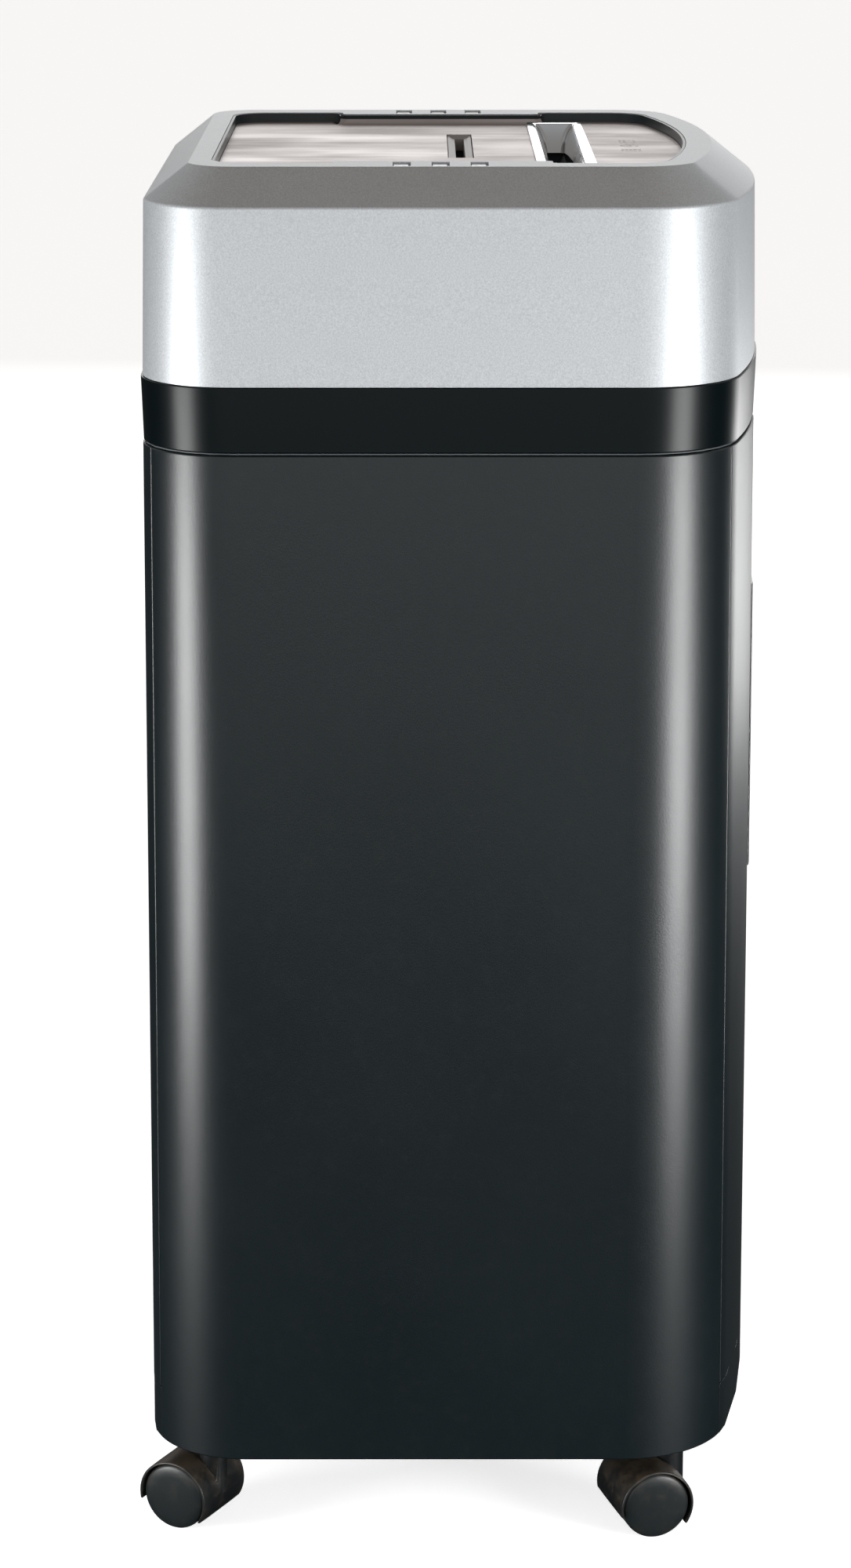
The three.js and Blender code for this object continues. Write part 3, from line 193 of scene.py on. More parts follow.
def full_ring(shape, growth):
    """The whole outline, anticlockwise from the right rear corner."""
    right_rear = rear_arc(shape, growth, 1)
    left_rear = rear_arc(shape, growth, -1)
    left_front = front_arc(shape, growth, -1)
    right_front = front_arc(shape, growth, 1)
    ring = list(reversed(right_rear)) + left_rear + left_front
    ring += bow_arc(shape, growth)[1:-1] + list(reversed(right_front))
    return ring


def side_path(growth, side):
    """The stretch of the outline that one side panel covers, from the rear seam to the front one."""
    return rear_arc(CASING, growth, side, REAR_SEAM_X) + front_arc(CASING, growth, side, FRONT_SEAM_X)


def front_path(growth, seam_x):
    """The stretch of the outline between the two front seams, left to right."""
    left = front_arc_from_seam(growth, -1, seam_x)
    right = front_arc_from_seam(growth, 1, seam_x)
    return left + bow_arc(CASING, growth)[1:-1] + list(reversed(right))


def front_arc_from_seam(growth, side, seam_x):
    """The part of a front corner that lies inside the seam, from the seam to the bow."""
    turn, _, centre_x, centre_y, corner, _ = front_geometry(CASING, growth)
    start = -math.acos((seam_x - centre_x) / corner)
    points = arc((centre_x, centre_y), corner, start, -math.pi / 2 + turn, CORNER_STEPS // 2)
    return [Vector((side * p.x, p.y)) for p in points]


def rear_path(growth, seam_x):
    """The stretch of the outline between the two rear seams, right to left."""
    corner = CASING.rear_corner + growth
    centre = (CASING.half + growth - corner, CASING.rear + growth - corner)
    start = math.acos((seam_x - centre[0]) / corner)
    right = arc(centre, corner, start, math.pi / 2, CORNER_STEPS // 2)
    left = [Vector((-p.x, p.y)) for p in reversed(right)]
    return right + left


def flare(z):
    """How far the cabinet's wall stands outside the outline at a height."""
    return BASE_FLARE * (CABINET_Z - z) / (CABINET_Z - BASE_Z)


print("outline has", len(full_ring(CASING, 0)), "points")

# %% [markdown]
# ## Tools of the bench
#
# Blender's operators work on whatever is selected, so each helper starts by clearing the
# selection. `lofted` is the main one: it adds a filled circle, lays its points on the first
# ring of an outline, and then extrudes the face again and again, laying the moving face on the
# next ring each time. The result is one closed skin with even quads, which takes bevels well.
# The alternative, joining separate rings with a bridge, needs the same rings and one step more.

# %% selection, modifiers and clean-up
def only(piece):
    """Make one object the selected and active one."""
    bpy.ops.object.select_all(action="DESELECT")
    piece.select_set(True)
    bpy.context.view_layer.objects.active = piece
    return piece


def apply_modifier(piece, kind, **settings):
    """Add a modifier with these settings and apply it."""
    only(piece)
    modifier = piece.modifiers.new(kind.lower(), kind)
    for name, value in settings.items():
        setattr(modifier, name, value)
    bpy.ops.object.modifier_apply(modifier=modifier.name)
    return piece


def soften(piece, width, segments=3, angle=38):
    """Round every edge that is sharper than the angle."""
    return apply_modifier(
        piece, "BEVEL", width=width, segments=segments, limit_method="ANGLE",
        angle_limit=math.radians(angle), use_clamp_overlap=True, harden_normals=False,
    )


def shade(piece, angle=32):
    """Smooth shading that stays crisp at real edges, with large faces setting the normals."""
    only(piece)
    bpy.ops.object.shade_smooth_by_angle(angle=math.radians(angle))
    return apply_modifier(piece, "WEIGHTED_NORMAL", keep_sharp=True)


def outward(piece):
    """Point every face of a closed piece outwards."""
    only(piece)
    bpy.ops.object.mode_set(mode="EDIT")
    bpy.ops.mesh.select_all(action="SELECT")
    bpy.ops.mesh.normals_make_consistent(inside=False)
    bpy.ops.object.mode_set(mode="OBJECT")
    return piece


def settle(piece):
    """Leave the object at the origin with its place in its mesh."""
    only(piece)
    bpy.ops.object.transform_apply(location=True, rotation=True, scale=True)
    return piece


def lofted(name, rings):
    """Closed skin through rings of 3-D points that all have the same number of points."""
    bpy.ops.object.select_all(action="DESELECT")
    bpy.ops.mesh.primitive_circle_add(vertices=len(rings[0]), radius=1, fill_type="NGON")
    piece = bpy.context.object
    piece.name = name
    only(piece)
    bpy.ops.object.mode_set(mode="EDIT")
    bpy.ops.mesh.select_all(action="SELECT")
    mesh = bmesh.from_edit_mesh(piece.data)
    for number, ring in enumerate(rings):
        if number:
            bpy.ops.mesh.extrude_region_move(TRANSFORM_OT_translate={"value": (0, 0, 0.001)})
        mesh = bmesh.from_edit_mesh(piece.data)
        moving = [face for face in mesh.faces if face.select][0]
        for loop, point in zip(moving.loops, ring):
            loop.vert.co = point
        bmesh.update_edit_mesh(piece.data)
    bpy.ops.mesh.select_all(action="SELECT")
    bpy.ops.mesh.remove_doubles(threshold=0.000002)
    bpy.ops.mesh.normals_make_consistent(inside=False)
    bpy.ops.object.mode_set(mode="OBJECT")
    return piece


def level(points, z):
    """A flat ring of outline points at a height, moved to the middle of the casing."""
    return [Vector((p.x, p.y + MIDDLE_Y, z)) for p in points]


def box_piece(name, low, high):
    """A plain block between two corners, used to cut with or as a start to shape."""
    bpy.ops.object.select_all(action="DESELECT")
    low, high = Vector(low), Vector(high)
    bpy.ops.mesh.primitive_cube_add(size=1, location=(low + high) / 2)
    piece = bpy.context.object
    piece.name = name
    piece.scale = high - low
    return settle(piece)


def combine(piece, other, operation="DIFFERENCE"):
    """Cut one solid with another, or keep what they share, and remove the second."""
    apply_modifier(piece, "BOOLEAN", object=other, operation=operation, solver="EXACT")
    bpy.data.objects.remove(other)
    return piece


def copy_of_node(node, name):
    """A merged copy of one solid of the working model, with flat faces made whole again."""
    source = frame["nodes"][node]
    piece = bpy.data.objects.new(name, source.data.copy())
    bpy.context.scene.collection.objects.link(piece)
    piece.data.materials.clear()
    only(piece)
    bpy.ops.object.mode_set(mode="EDIT")
    bpy.ops.mesh.select_all(action="SELECT")
    bpy.ops.mesh.remove_doubles(threshold=0.00001)
    bpy.ops.mesh.dissolve_limited(angle_limit=math.radians(0.5))
    bpy.ops.object.mode_set(mode="OBJECT")
    return piece


def finish_piece(piece, material, body, slot, *nodes):
    """Give a piece its material and its body, and hide the solids it stands for."""
    piece.data.materials.clear()
    piece.data.materials.append(material)
    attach(piece, body)
    if nodes:
        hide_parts(*nodes)
    print(piece.name, len(piece.data.polygons), "faces")
    return piece


# %% [markdown]
# ## Effects that several finishes share
#
# Moulded plastic, spray paint and brushed metal all have a surface that a single colour can't
# show. Each effect is built once as a node group. `fine_grain` is the pebble of an eroded
# mould, `flakes` the metal particles in silver paint, `brushed_lines` the long scratches left
# by a belt, and `settled_dust` collects on faces that look up and in patches. A group only
# puts out colours, masks, values and heights; the shader itself stays in each material.

# %% node group helpers
def new_group(name, inputs, outputs):
    """An empty node group with float inputs and outputs given as (name, default) pairs."""
    group = bpy.data.node_groups.new(name, "ShaderNodeTree")
    for label, default in inputs:
        socket = group.interface.new_socket(label, in_out="INPUT", socket_type="NodeSocketFloat")
        socket.default_value = default
    for label in outputs:
        group.interface.new_socket(label, in_out="OUTPUT", socket_type="NodeSocketFloat")
    nodes = group.nodes
    entry = nodes.new("NodeGroupInput")
    leave = nodes.new("NodeGroupOutput")
    return group, entry, leave


def add(nodes, kind, **settings):
    """Add a node, then set its properties and the defaults of its named inputs."""
    node = nodes.new(kind)
    for name, value in settings.items():
        if name.startswith("in_"):
            node.inputs[name[3:].replace("_", " ")].default_value = value
        else:
            setattr(node, name, value)
    return node


def stretched_coordinates(group, stretch):
    """Object coordinates with each axis scaled, so that a pattern can be long in one direction."""
    place = add(group.nodes, "ShaderNodeTexCoord")
    mapping = add(group.nodes, "ShaderNodeMapping")
    mapping.inputs["Scale"].default_value = stretch
    group.links.new(place.outputs["Object"], mapping.inputs["Vector"])
    return mapping.outputs["Vector"]


# %% effect: fine grain of an eroded mould
def make_fine_grain():
    """Outputs a height for bump and a blotch value that varies slowly over the part."""
    group, entry, leave = new_group("fine_grain", [("Scale", 900.0)], ["Height", "Blotch"])
    nodes, links = group.nodes, group.links
    place = stretched_coordinates(group, (1, 1, 1))
    pebble = add(nodes, "ShaderNodeTexNoise", in_Detail=3.0, in_Roughness=0.62)
    links.new(place, pebble.inputs["Vector"])
    links.new(entry.outputs["Scale"], pebble.inputs["Scale"])
    blotch = add(nodes, "ShaderNodeTexNoise", in_Scale=7.0, in_Detail=4.0, in_Roughness=0.55)
    links.new(place, blotch.inputs["Vector"])
    links.new(pebble.outputs["Fac"], leave.inputs["Height"])
    links.new(blotch.outputs["Fac"], leave.inputs["Blotch"])
    return group


# %% effect: metal flakes in paint
def make_flakes():
    """Outputs a speckle from 0 to 1 made of small cells of different brightness."""
    group, entry, leave = new_group("flakes", [("Scale", 1400.0)], ["Speckle", "Cloud"])
    nodes, links = group.nodes, group.links
    place = stretched_coordinates(group, (1, 1, 1))
    cells = add(nodes, "ShaderNodeTexNoise", in_Detail=2.0, in_Roughness=0.8)
    links.new(place, cells.inputs["Vector"])
    links.new(entry.outputs["Scale"], cells.inputs["Scale"])
    spread = add(nodes, "ShaderNodeMapRange")
    spread.inputs["From Min"].default_value = 0.3
    spread.inputs["From Max"].default_value = 0.7
    links.new(cells.outputs["Fac"], spread.inputs["Value"])
    cloud = add(nodes, "ShaderNodeTexNoise", in_Scale=60.0, in_Detail=3.0)
    links.new(place, cloud.inputs["Vector"])
    links.new(spread.outputs["Result"], leave.inputs["Speckle"])
    links.new(cloud.outputs["Fac"], leave.inputs["Cloud"])
    return group


# %% effect: brushed lines
def make_brushed_lines():
    """Long thin lines along Y, broad faint bands, and soft smudges."""
    group, entry, leave = new_group("brushed_lines", [("Fineness", 1.0)], ["Lines", "Bands", "Smudge"])
    nodes, links = group.nodes, group.links
    fine = add(nodes, "ShaderNodeTexNoise", in_Detail=4.0, in_Roughness=0.7)
    links.new(stretched_coordinates(group, (1400, 9, 1)), fine.inputs["Vector"])
    links.new(entry.outputs["Fineness"], fine.inputs["Scale"])
    bands = add(nodes, "ShaderNodeTexNoise", in_Scale=1.0, in_Detail=5.0, in_Roughness=0.6)
    links.new(stretched_coordinates(group, (120, 5, 1)), bands.inputs["Vector"])
    smudge = add(nodes, "ShaderNodeTexNoise", in_Scale=1.0, in_Detail=3.0, in_Roughness=0.5)
    links.new(stretched_coordinates(group, (26, 11, 1)), smudge.inputs["Vector"])
    links.new(fine.outputs["Fac"], leave.inputs["Lines"])
    links.new(bands.outputs["Fac"], leave.inputs["Bands"])
    links.new(smudge.outputs["Fac"], leave.inputs["Smudge"])
    return group


# %% effect: dust that has settled
def make_settled_dust():
    """A mask that is high on faces that look up, and in patches elsewhere."""
    group, entry, leave = new_group(
        "settled_dust", [("Scale", 60.0), ("Amount", 0.5), ("Upward", 0.5)], ["Mask"]
    )
    nodes, links = group.nodes, group.links
    patches = add(nodes, "ShaderNodeTexNoise", in_Detail=6.0, in_Roughness=0.68)
    links.new(stretched_coordinates(group, (1, 1, 1)), patches.inputs["Vector"])
    links.new(entry.outputs["Scale"], patches.inputs["Scale"])
    normal = add(nodes, "ShaderNodeNewGeometry")
    split = add(nodes, "ShaderNodeSeparateXYZ")
    links.new(normal.outputs["Normal"], split.inputs["Vector"])
    facing = add(nodes, "ShaderNodeMath", operation="MAXIMUM")
    facing.inputs[1].default_value = 0.0
    links.new(split.outputs["Z"], facing.inputs[0])
    share = add(nodes, "ShaderNodeMath", operation="MULTIPLY")
    links.new(facing.outputs[0], share.inputs[0])
    links.new(entry.outputs["Upward"], share.inputs[1])
    total = add(nodes, "ShaderNodeMath", operation="ADD")
    links.new(patches.outputs["Fac"], total.inputs[0])
    links.new(share.outputs[0], total.inputs[1])
    spread = add(nodes, "ShaderNodeMapRange", interpolation_type="SMOOTHSTEP")
    spread.inputs["From Min"].default_value = 0.45
    spread.inputs["From Max"].default_value = 1.0
    links.new(total.outputs[0], spread.inputs["Value"])
    scaled = add(nodes, "ShaderNodeMath", operation="MULTIPLY", use_clamp=True)
    links.new(spread.outputs["Result"], scaled.inputs[0])
    links.new(entry.outputs["Amount"], scaled.inputs[1])
    links.new(scaled.outputs[0], leave.inputs["Mask"])
    return group


# %% effect: rubbed edges
def make_edge_rub():
    """A mask that is high where the surface turns sharply outwards."""
    group, entry, leave = new_group("edge_rub", [("Sharpness", 0.53), ("Amount", 0.5)], ["Mask"])
    nodes, links = group.nodes, group.links
    shape = add(nodes, "ShaderNodeNewGeometry")
    top = add(nodes, "ShaderNodeMath", operation="ADD")
    top.inputs[1].default_value = 0.08
    links.new(entry.outputs["Sharpness"], top.inputs[0])
    spread = add(nodes, "ShaderNodeMapRange")
    links.new(shape.outputs["Pointiness"], spread.inputs["Value"])
    links.new(entry.outputs["Sharpness"], spread.inputs["From Min"])
    links.new(top.outputs[0], spread.inputs["From Max"])
    scaled = add(nodes, "ShaderNodeMath", operation="MULTIPLY", use_clamp=True)
    links.new(spread.outputs["Result"], scaled.inputs[0])
    links.new(entry.outputs["Amount"], scaled.inputs[1])
    links.new(scaled.outputs[0], leave.inputs["Mask"])
    return group


EFFECTS = {
    "grain": make_fine_grain(),
    "flakes": make_flakes(),
    "brushed": make_brushed_lines(),
    "dust": make_settled_dust(),
    "rub": make_edge_rub(),
}
print("effects:", sorted(EFFECTS))

# %% [markdown]
# ## Finishes
#
# Colours are written as they would be read off a paint chart, from 0 to 255, and turned into
# the linear light that Blender works in. Each finish below has its own small function, and
# takes the effects it needs with its own values.

# %% material helpers
def chart(red, green, blue):
    """A chart colour from 0 to 255 in linear light."""
    linear = []
    for value in (red, green, blue):
        share = value / 255
        linear.append(share / 12.92 if share <= 0.04045 else ((share + 0.055) / 1.055) ** 2.4)
    return (*linear, 1)


class Finish:
    """A material under construction: its shader, and short ways to add and join nodes."""

    def __init__(self, name, **constants):
        self.material = bpy.data.materials.new(name)
        self.material.use_nodes = True
        self.nodes = self.material.node_tree.nodes
        self.links = self.material.node_tree.links
        self.shader = self.nodes["Principled BSDF"]
        for label, value in constants.items():
            self.shader.inputs[label.replace("_", " ")].default_value = value

    def effect(self, key, **values):
        """Place one shared effect with its own values."""
        node = self.nodes.new("ShaderNodeGroup")
        node.node_tree = EFFECTS[key]
        for label, value in values.items():
            node.inputs[label].default_value = value
        return node

    def blend(self, mask, first, second):
        """Mix two colours, or sockets that carry colours, by a mask."""
        node = add(self.nodes, "ShaderNodeMix", data_type="RGBA")
        self.join(mask, node.inputs["Factor"])
        for value, socket in ((first, node.inputs[6]), (second, node.inputs[7])):
            self.join(value, socket)
        return node.outputs[2]

    def between(self, value, low, high, start=0.0, end=1.0):
        """Stretch a value from start..end to low..high."""
        node = add(self.nodes, "ShaderNodeMapRange")
        self.join(value, node.inputs["Value"])
        node.inputs["From Min"].default_value = start
        node.inputs["From Max"].default_value = end
        node.inputs["To Min"].default_value = low
        node.inputs["To Max"].default_value = high
        return node.outputs["Result"]

    def join(self, value, socket):
        """Set a socket to a constant, or link another node's output to it."""
        if isinstance(value, bpy.types.NodeSocket):
            self.links.new(value, socket)
        else:
            socket.default_value = value

    def colour(self, value):
        self.join(value, self.shader.inputs["Base Color"])

    def roughness(self, value):
        self.join(value, self.shader.inputs["Roughness"])

    def bump(self, height, distance, strength=1.0):
        """Raise the surface by a height map, in metres at full height."""
        node = add(self.nodes, "ShaderNodeBump")
        node.inputs["Strength"].default_value = strength
        node.inputs["Distance"].default_value = distance
        self.join(height, node.inputs["Height"])
        self.links.new(node.outputs["Normal"], self.shader.inputs["Normal"])


# %% [markdown]
# ### Silver paint of the head
#
# The head is sprayed with a cool silver. Its flakes give a very fine sparkle, and the paint is
# half matt, so that a lamp shows as a wide soft band at each round corner.

# %% silver paint
def silver_paint():
    finish = Finish("silver_paint", Metallic=0.5)
    flakes = finish.effect("flakes", Scale=1100.0)
    base = finish.blend(flakes.outputs["Speckle"], chart(190, 195, 199), chart(220, 223, 226))
    dust = finish.effect("dust", Scale=35.0, Amount=0.12, Upward=0.25)
    finish.colour(finish.blend(dust.outputs["Mask"], base, chart(170, 168, 163)))
    finish.roughness(finish.between(flakes.outputs["Speckle"], 0.4, 0.48))
    finish.bump(flakes.outputs["Speckle"], 0.00002, 0.25)
    return finish.material


# %% [markdown]
# ### Black plastic of the cabinet
#
# The cabinet is moulded in blue-black plastic with an eroded texture that kills reflections.
# A second, glossier version covers the collar and the trim, which are polished tools.

# %% black plastics
def black_satin():
    finish = Finish("black_satin", Specular_IOR_Level=0.6)
    grain = finish.effect("grain", Scale=950.0)
    base = finish.blend(grain.outputs["Blotch"], chart(2, 14, 18), chart(5, 19, 23))
    dust = finish.effect("dust", Scale=120.0, Amount=0.04, Upward=0.5)
    finish.colour(finish.blend(dust.outputs["Mask"], base, chart(96, 96, 90)))
    finish.roughness(finish.between(grain.outputs["Blotch"], 0.32, 0.4))
    finish.bump(grain.outputs["Height"], 0.00009, 0.55)
    return finish.material


def black_gloss():
    finish = Finish("collar_gloss", Specular_IOR_Level=0.2)
    grain = finish.effect("grain", Scale=600.0)
    finish.colour(finish.blend(grain.outputs["Blotch"], chart(1, 9, 11), chart(4, 13, 16)))
    finish.roughness(finish.between(grain.outputs["Blotch"], 0.26, 0.36))
    finish.bump(grain.outputs["Height"], 0.00002, 0.3)
    return finish.material


def trim_plastic():
    finish = Finish("dark_trim", Specular_IOR_Level=0.45)
    grain = finish.effect("grain", Scale=700.0)
    finish.colour(finish.blend(grain.outputs["Blotch"], chart(38, 47, 49), chart(58, 68, 70)))
    finish.roughness(finish.between(grain.outputs["Blotch"], 0.3, 0.42))
    finish.bump(grain.outputs["Height"], 0.00003, 0.3)
    return finish.material


# %% [markdown]
# ### Brushed panel and plated throat
#
# The top panel is a printed aluminium sheet with streaks that run from the front to the rear,
# warm grey with a faint pink cast. The feed throat is chrome plated: nearly a mirror, with a
# trace of haze and a few wipe marks so that it doesn't look computed.

# %% brushed metal and chrome
def brushed_panel():
    finish = Finish("brushed_panel", Metallic=0.8, Specular_IOR_Level=0.4)
    brushed = finish.effect("brushed", Fineness=1.0)
    lines = finish.blend(brushed.outputs["Lines"], chart(168, 156, 154), chart(214, 206, 203))
    bands = finish.between(brushed.outputs["Bands"], 0.0, 0.75, 0.42, 0.72)
    banded = finish.blend(bands, lines, chart(150, 138, 136))
    smudge = finish.between(brushed.outputs["Smudge"], 0.0, 0.35, 0.45, 0.75)
    finish.colour(finish.blend(smudge, banded, chart(178, 170, 167)))
    finish.roughness(finish.between(brushed.outputs["Smudge"], 0.32, 0.5, 0.3, 0.7))
    finish.bump(brushed.outputs["Lines"], 0.00002, 0.35)
    return finish.material


def chrome():
    finish = Finish("chrome", Metallic=1.0)
    brushed = finish.effect("brushed", Fineness=0.4)
    finish.colour(finish.blend(brushed.outputs["Smudge"], chart(205, 208, 211), chart(232, 234, 236)))
    finish.roughness(finish.between(brushed.outputs["Smudge"], 0.035, 0.11, 0.3, 0.7))
    return finish.material


# %% [markdown]
# ### Small plastics, clear parts and inner metals
#
# The remaining finishes are variations on the same effects: dusty black for the casters, grey
# for the bin, milky white for the rim inserts, smoked clear for the window, and the plain
# metals and nylon of the mechanism.

# %% other finishes
def caster_plastic(name, dark, light, dust_amount, low, high):
    finish = Finish(name, Specular_IOR_Level=0.4)
    grain = finish.effect("grain", Scale=1100.0)
    base = finish.blend(grain.outputs["Blotch"], chart(*dark), chart(*light))
    rub = finish.effect("rub", Sharpness=0.52, Amount=0.35)
    worn = finish.blend(rub.outputs["Mask"], base, chart(84, 82, 78))
    dust = finish.effect("dust", Scale=130.0, Amount=dust_amount, Upward=0.3)
    finish.colour(finish.blend(dust.outputs["Mask"], worn, chart(104, 88, 68)))
    finish.roughness(finish.between(dust.outputs["Mask"], low, high))
    finish.bump(grain.outputs["Height"], 0.00005, 0.35)
    return finish.material


def plain_plastic(name, first, second, low, high, scale=700.0, level_of_shine=0.5):
    finish = Finish(name, Specular_IOR_Level=level_of_shine)
    grain = finish.effect("grain", Scale=scale)
    dust = finish.effect("dust", Scale=60.0, Amount=0.2, Upward=0.5)
    base = finish.blend(grain.outputs["Blotch"], chart(*first), chart(*second))
    finish.colour(finish.blend(dust.outputs["Mask"], base, chart(150, 147, 140)))
    finish.roughness(finish.between(grain.outputs["Blotch"], low, high))
    finish.bump(grain.outputs["Height"], 0.00004, 0.35)
    return finish.material


def milky_lens():
    finish = Finish("lens", Specular_IOR_Level=0.6, Coat_Weight=0.4, Coat_Roughness=0.12)
    grain = finish.effect("grain", Scale=300.0)
    finish.colour(finish.blend(grain.outputs["Blotch"], chart(204, 208, 210), chart(226, 229, 230)))
    finish.roughness(finish.between(grain.outputs["Blotch"], 0.2, 0.32))
    return finish.material


def smoked_window():
    finish = Finish("tinted_window", Transmission_Weight=0.85, IOR=1.49)
    grain = finish.effect("grain", Scale=240.0)
    finish.colour(finish.blend(grain.outputs["Blotch"], chart(70, 76, 80), chart(92, 98, 102)))
    finish.roughness(finish.between(grain.outputs["Blotch"], 0.03, 0.1))
    return finish.material


def bare_metal(name, first, second, low, high):
    finish = Finish(name, Metallic=0.95)
    brushed = finish.effect("brushed", Fineness=0.6)
    grain = finish.effect("grain", Scale=500.0)
    streaks = finish.blend(brushed.outputs["Lines"], chart(*first), chart(*second))
    finish.colour(finish.blend(grain.outputs["Blotch"], streaks, chart(*first)))
    finish.roughness(finish.between(brushed.outputs["Smudge"], low, high, 0.3, 0.7))
    finish.bump(brushed.outputs["Lines"], 0.00002, 0.3)
    return finish.material


def panel_print():
    finish = Finish("panel_print", Specular_IOR_Level=0.3)
    grain = finish.effect("grain", Scale=900.0)
    finish.colour(finish.blend(grain.outputs["Blotch"], chart(226, 226, 225), chart(240, 240, 240)))
    finish.roughness(finish.between(grain.outputs["Height"], 0.45, 0.6))
    return finish.material


SILVER = silver_paint()
BLACK = black_satin()
GLOSS = black_gloss()
TRIM = trim_plastic()
BRUSHED = brushed_panel()
CHROME = chrome()
LENS = milky_lens()
WINDOW = smoked_window()
PRINT = panel_print()
HOOD = caster_plastic("caster_hood_plastic", (10, 14, 16), (20, 24, 26), 0.36, 0.4, 0.66)
WHEEL = caster_plastic("caster_nylon", (18, 24, 26), (34, 40, 42), 0.26, 0.36, 0.58)
GREY = plain_plastic("grey_plastic", (66, 72, 76), (82, 89, 93), 0.5, 0.62)
ROCKER = plain_plastic("rocker_plastic", (18, 22, 24), (28, 33, 36), 0.28, 0.4)
NYLON = plain_plastic("gear_nylon", (206, 201, 188), (224, 220, 208), 0.5, 0.6)
BOARD = plain_plastic("board", (30, 74, 48), (46, 96, 64), 0.4, 0.55)
CUTTER_STEEL = bare_metal("cutter_steel", (120, 124, 128), (158, 162, 166), 0.28, 0.45)
ZINC = bare_metal("zinc_steel", (160, 164, 168), (192, 196, 198), 0.3, 0.46)
IRON = bare_metal("motor_iron", (92, 96, 99), (124, 128, 131), 0.36, 0.52)
print(len(bpy.data.materials), "materials with those of the working model")

# %% [markdown]
# ## The head housing
#
# The silver head is one moulding: an upright wall, a shoulder, a wide chamfer and a flat rim
# round the recess. On the real part no edge is sharp, so the outline is lofted through extra
# rings that turn the bottom lip, the shoulder and the edge of the rim through small arcs. The
# hollow inside, the recess and the six pockets are then cut away with other solids, and the
# edges that those cuts leave are rounded by a Bevel.

# %% profile of the head, as (height, growth) pairs with rounded turns
def turned(before, corner, after, radius, steps=5):
    """Replace one corner of a (z, growth) profile by an arc that is tangent to both sides."""
    corner = Vector(corner)
    first = (Vector(before) - corner).normalized()
    second = (Vector(after) - corner).normalized()
    half_angle = first.angle(second) / 2
    reach = radius / math.tan(half_angle)
    start, end = corner + first * reach, corner + second * reach
    points = []
    for step in range(steps + 1):
        t = step / steps
        points.append(start * (1 - t) ** 2 + corner * 2 * t * (1 - t) + end * t**2)
    return points


def head_profile():
    foot = (HEAD_Z, HEAD_BOTTOM_GROWTH - 1.2 * MM)
    lip = (HEAD_Z, HEAD_BOTTOM_GROWTH)
    shoulder = (SHOULDER_Z, -2.3 * MM)
    rim_edge = (RIM_Z, -27 * MM)
    inner = (RIM_Z, -34 * MM)
    profile = [Vector(foot)]
    profile += turned(foot, lip, shoulder, 0.5 * MM, 3)
    profile += turned(lip, shoulder, rim_edge, 2.4 * MM)
    profile += turned(shoulder, rim_edge, inner, 1.6 * MM)
    return profile


OPENING = Outline(147 * MM, 134 * MM, 131.4 * MM, 20 * MM, 24 * MM, 577 * MM)
PAD_INSET = 10.6 * MM
PAD_FRONT_Y = -51 * MM
PAD_REAR_Y = 67 * MM
HEAD_WALL = 3 * MM


def opening_prism(name, growth, low_z, high_z):
    """A solid as wide as the recess, without the two stretches where the rim is wider."""
    prism = lofted(name, [level(full_ring(OPENING, growth), z) for z in (low_z, high_z)])
    inner = OPENING.half - PAD_INSET + growth
    outer = OPENING.half + growth + 5 * MM
    for side in (-1, 1):
        low_x, high_x = sorted((side * inner, side * outer))
        low = (low_x, PAD_FRONT_Y + growth + MIDDLE_Y, low_z - MM)
        high = (high_x, PAD_REAR_Y - growth + MIDDLE_Y, high_z + MM)
        combine(prism, box_piece("pad_cut", low, high))
    return prism


# %% the upright corners of the recess are rounded before it cuts anything
def round_upright(prism, radius, reach):
    """Round the upright edges whose middle lies within reach of the pads' ends."""
    only(prism)
    bpy.ops.object.mode_set(mode="EDIT")
    bpy.ops.mesh.select_all(action="DESELECT")
    mesh = bmesh.from_edit_mesh(prism.data)
    ends = (PAD_FRONT_Y + MIDDLE_Y, PAD_REAR_Y + MIDDLE_Y)
    for edge in mesh.edges:
        middle = (edge.verts[0].co + edge.verts[1].co) / 2
        upright = abs(edge.verts[0].co.z - edge.verts[1].co.z) > MM
        near = min(abs(middle.y - end) for end in ends) < reach
        edge.select = upright and near and len(edge.link_faces) == 2 and edge.calc_face_angle() > 0.6
    mesh.select_flush_mode()
    bmesh.update_edit_mesh(prism.data)
    bpy.ops.mesh.bevel(offset=radius, segments=5, affect="EDGES")
    bpy.ops.object.mode_set(mode="OBJECT")
    return prism


# %% head housing
def head_housing():
    rings = [level(full_ring(CASING, growth), z) for z, growth in head_profile()]
    head = lofted("head_housing_painted", rings)
    hollow_levels = [
        (HEAD_Z - 2 * MM, HEAD_BOTTOM_GROWTH - HEAD_WALL),
        (SHOULDER_Z - 1.4 * MM, -2.3 * MM - HEAD_WALL),
        (RIM_Z - HEAD_WALL, -28.3 * MM),
    ]
    hollow = lofted("head_hollow", [level(full_ring(CASING, growth), z) for z, growth in hollow_levels])
    combine(head, hollow)
    recess = opening_prism("recess", 0, RIM_Z - HEAD_WALL - 2 * MM, RIM_Z + 2 * MM)
    combine(head, round_upright(recess, 4 * MM, 6 * MM))
    for node in [n for n in frame["nodes"] if n.startswith("rim_cap_")]:
        low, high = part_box(node)
        gap = Vector((0.3, 0.3, 0)) * MM
        cutter = box_piece("pocket", low - gap, high + gap)
        for vertex in cutter.data.vertices:
            vertex.co.z += -3 * MM if vertex.co.z < RIM_Z - 2 * MM else 3 * MM
        combine(head, cutter)
    soften(head, 0.35 * MM, 2, 50)
    return shade(head)


finish_piece(head_housing(), SILVER, "frame", "silver_paint", "head_housing")

# %% [markdown]
# ## The lining of the recess
#
# Below the rim a dark trim part lines the wall of the recess and carries the top panel on a
# ledge. It is made like the recess itself: one prism, hollowed by a smaller one, so that both
# share the rounded steps beside the pads.

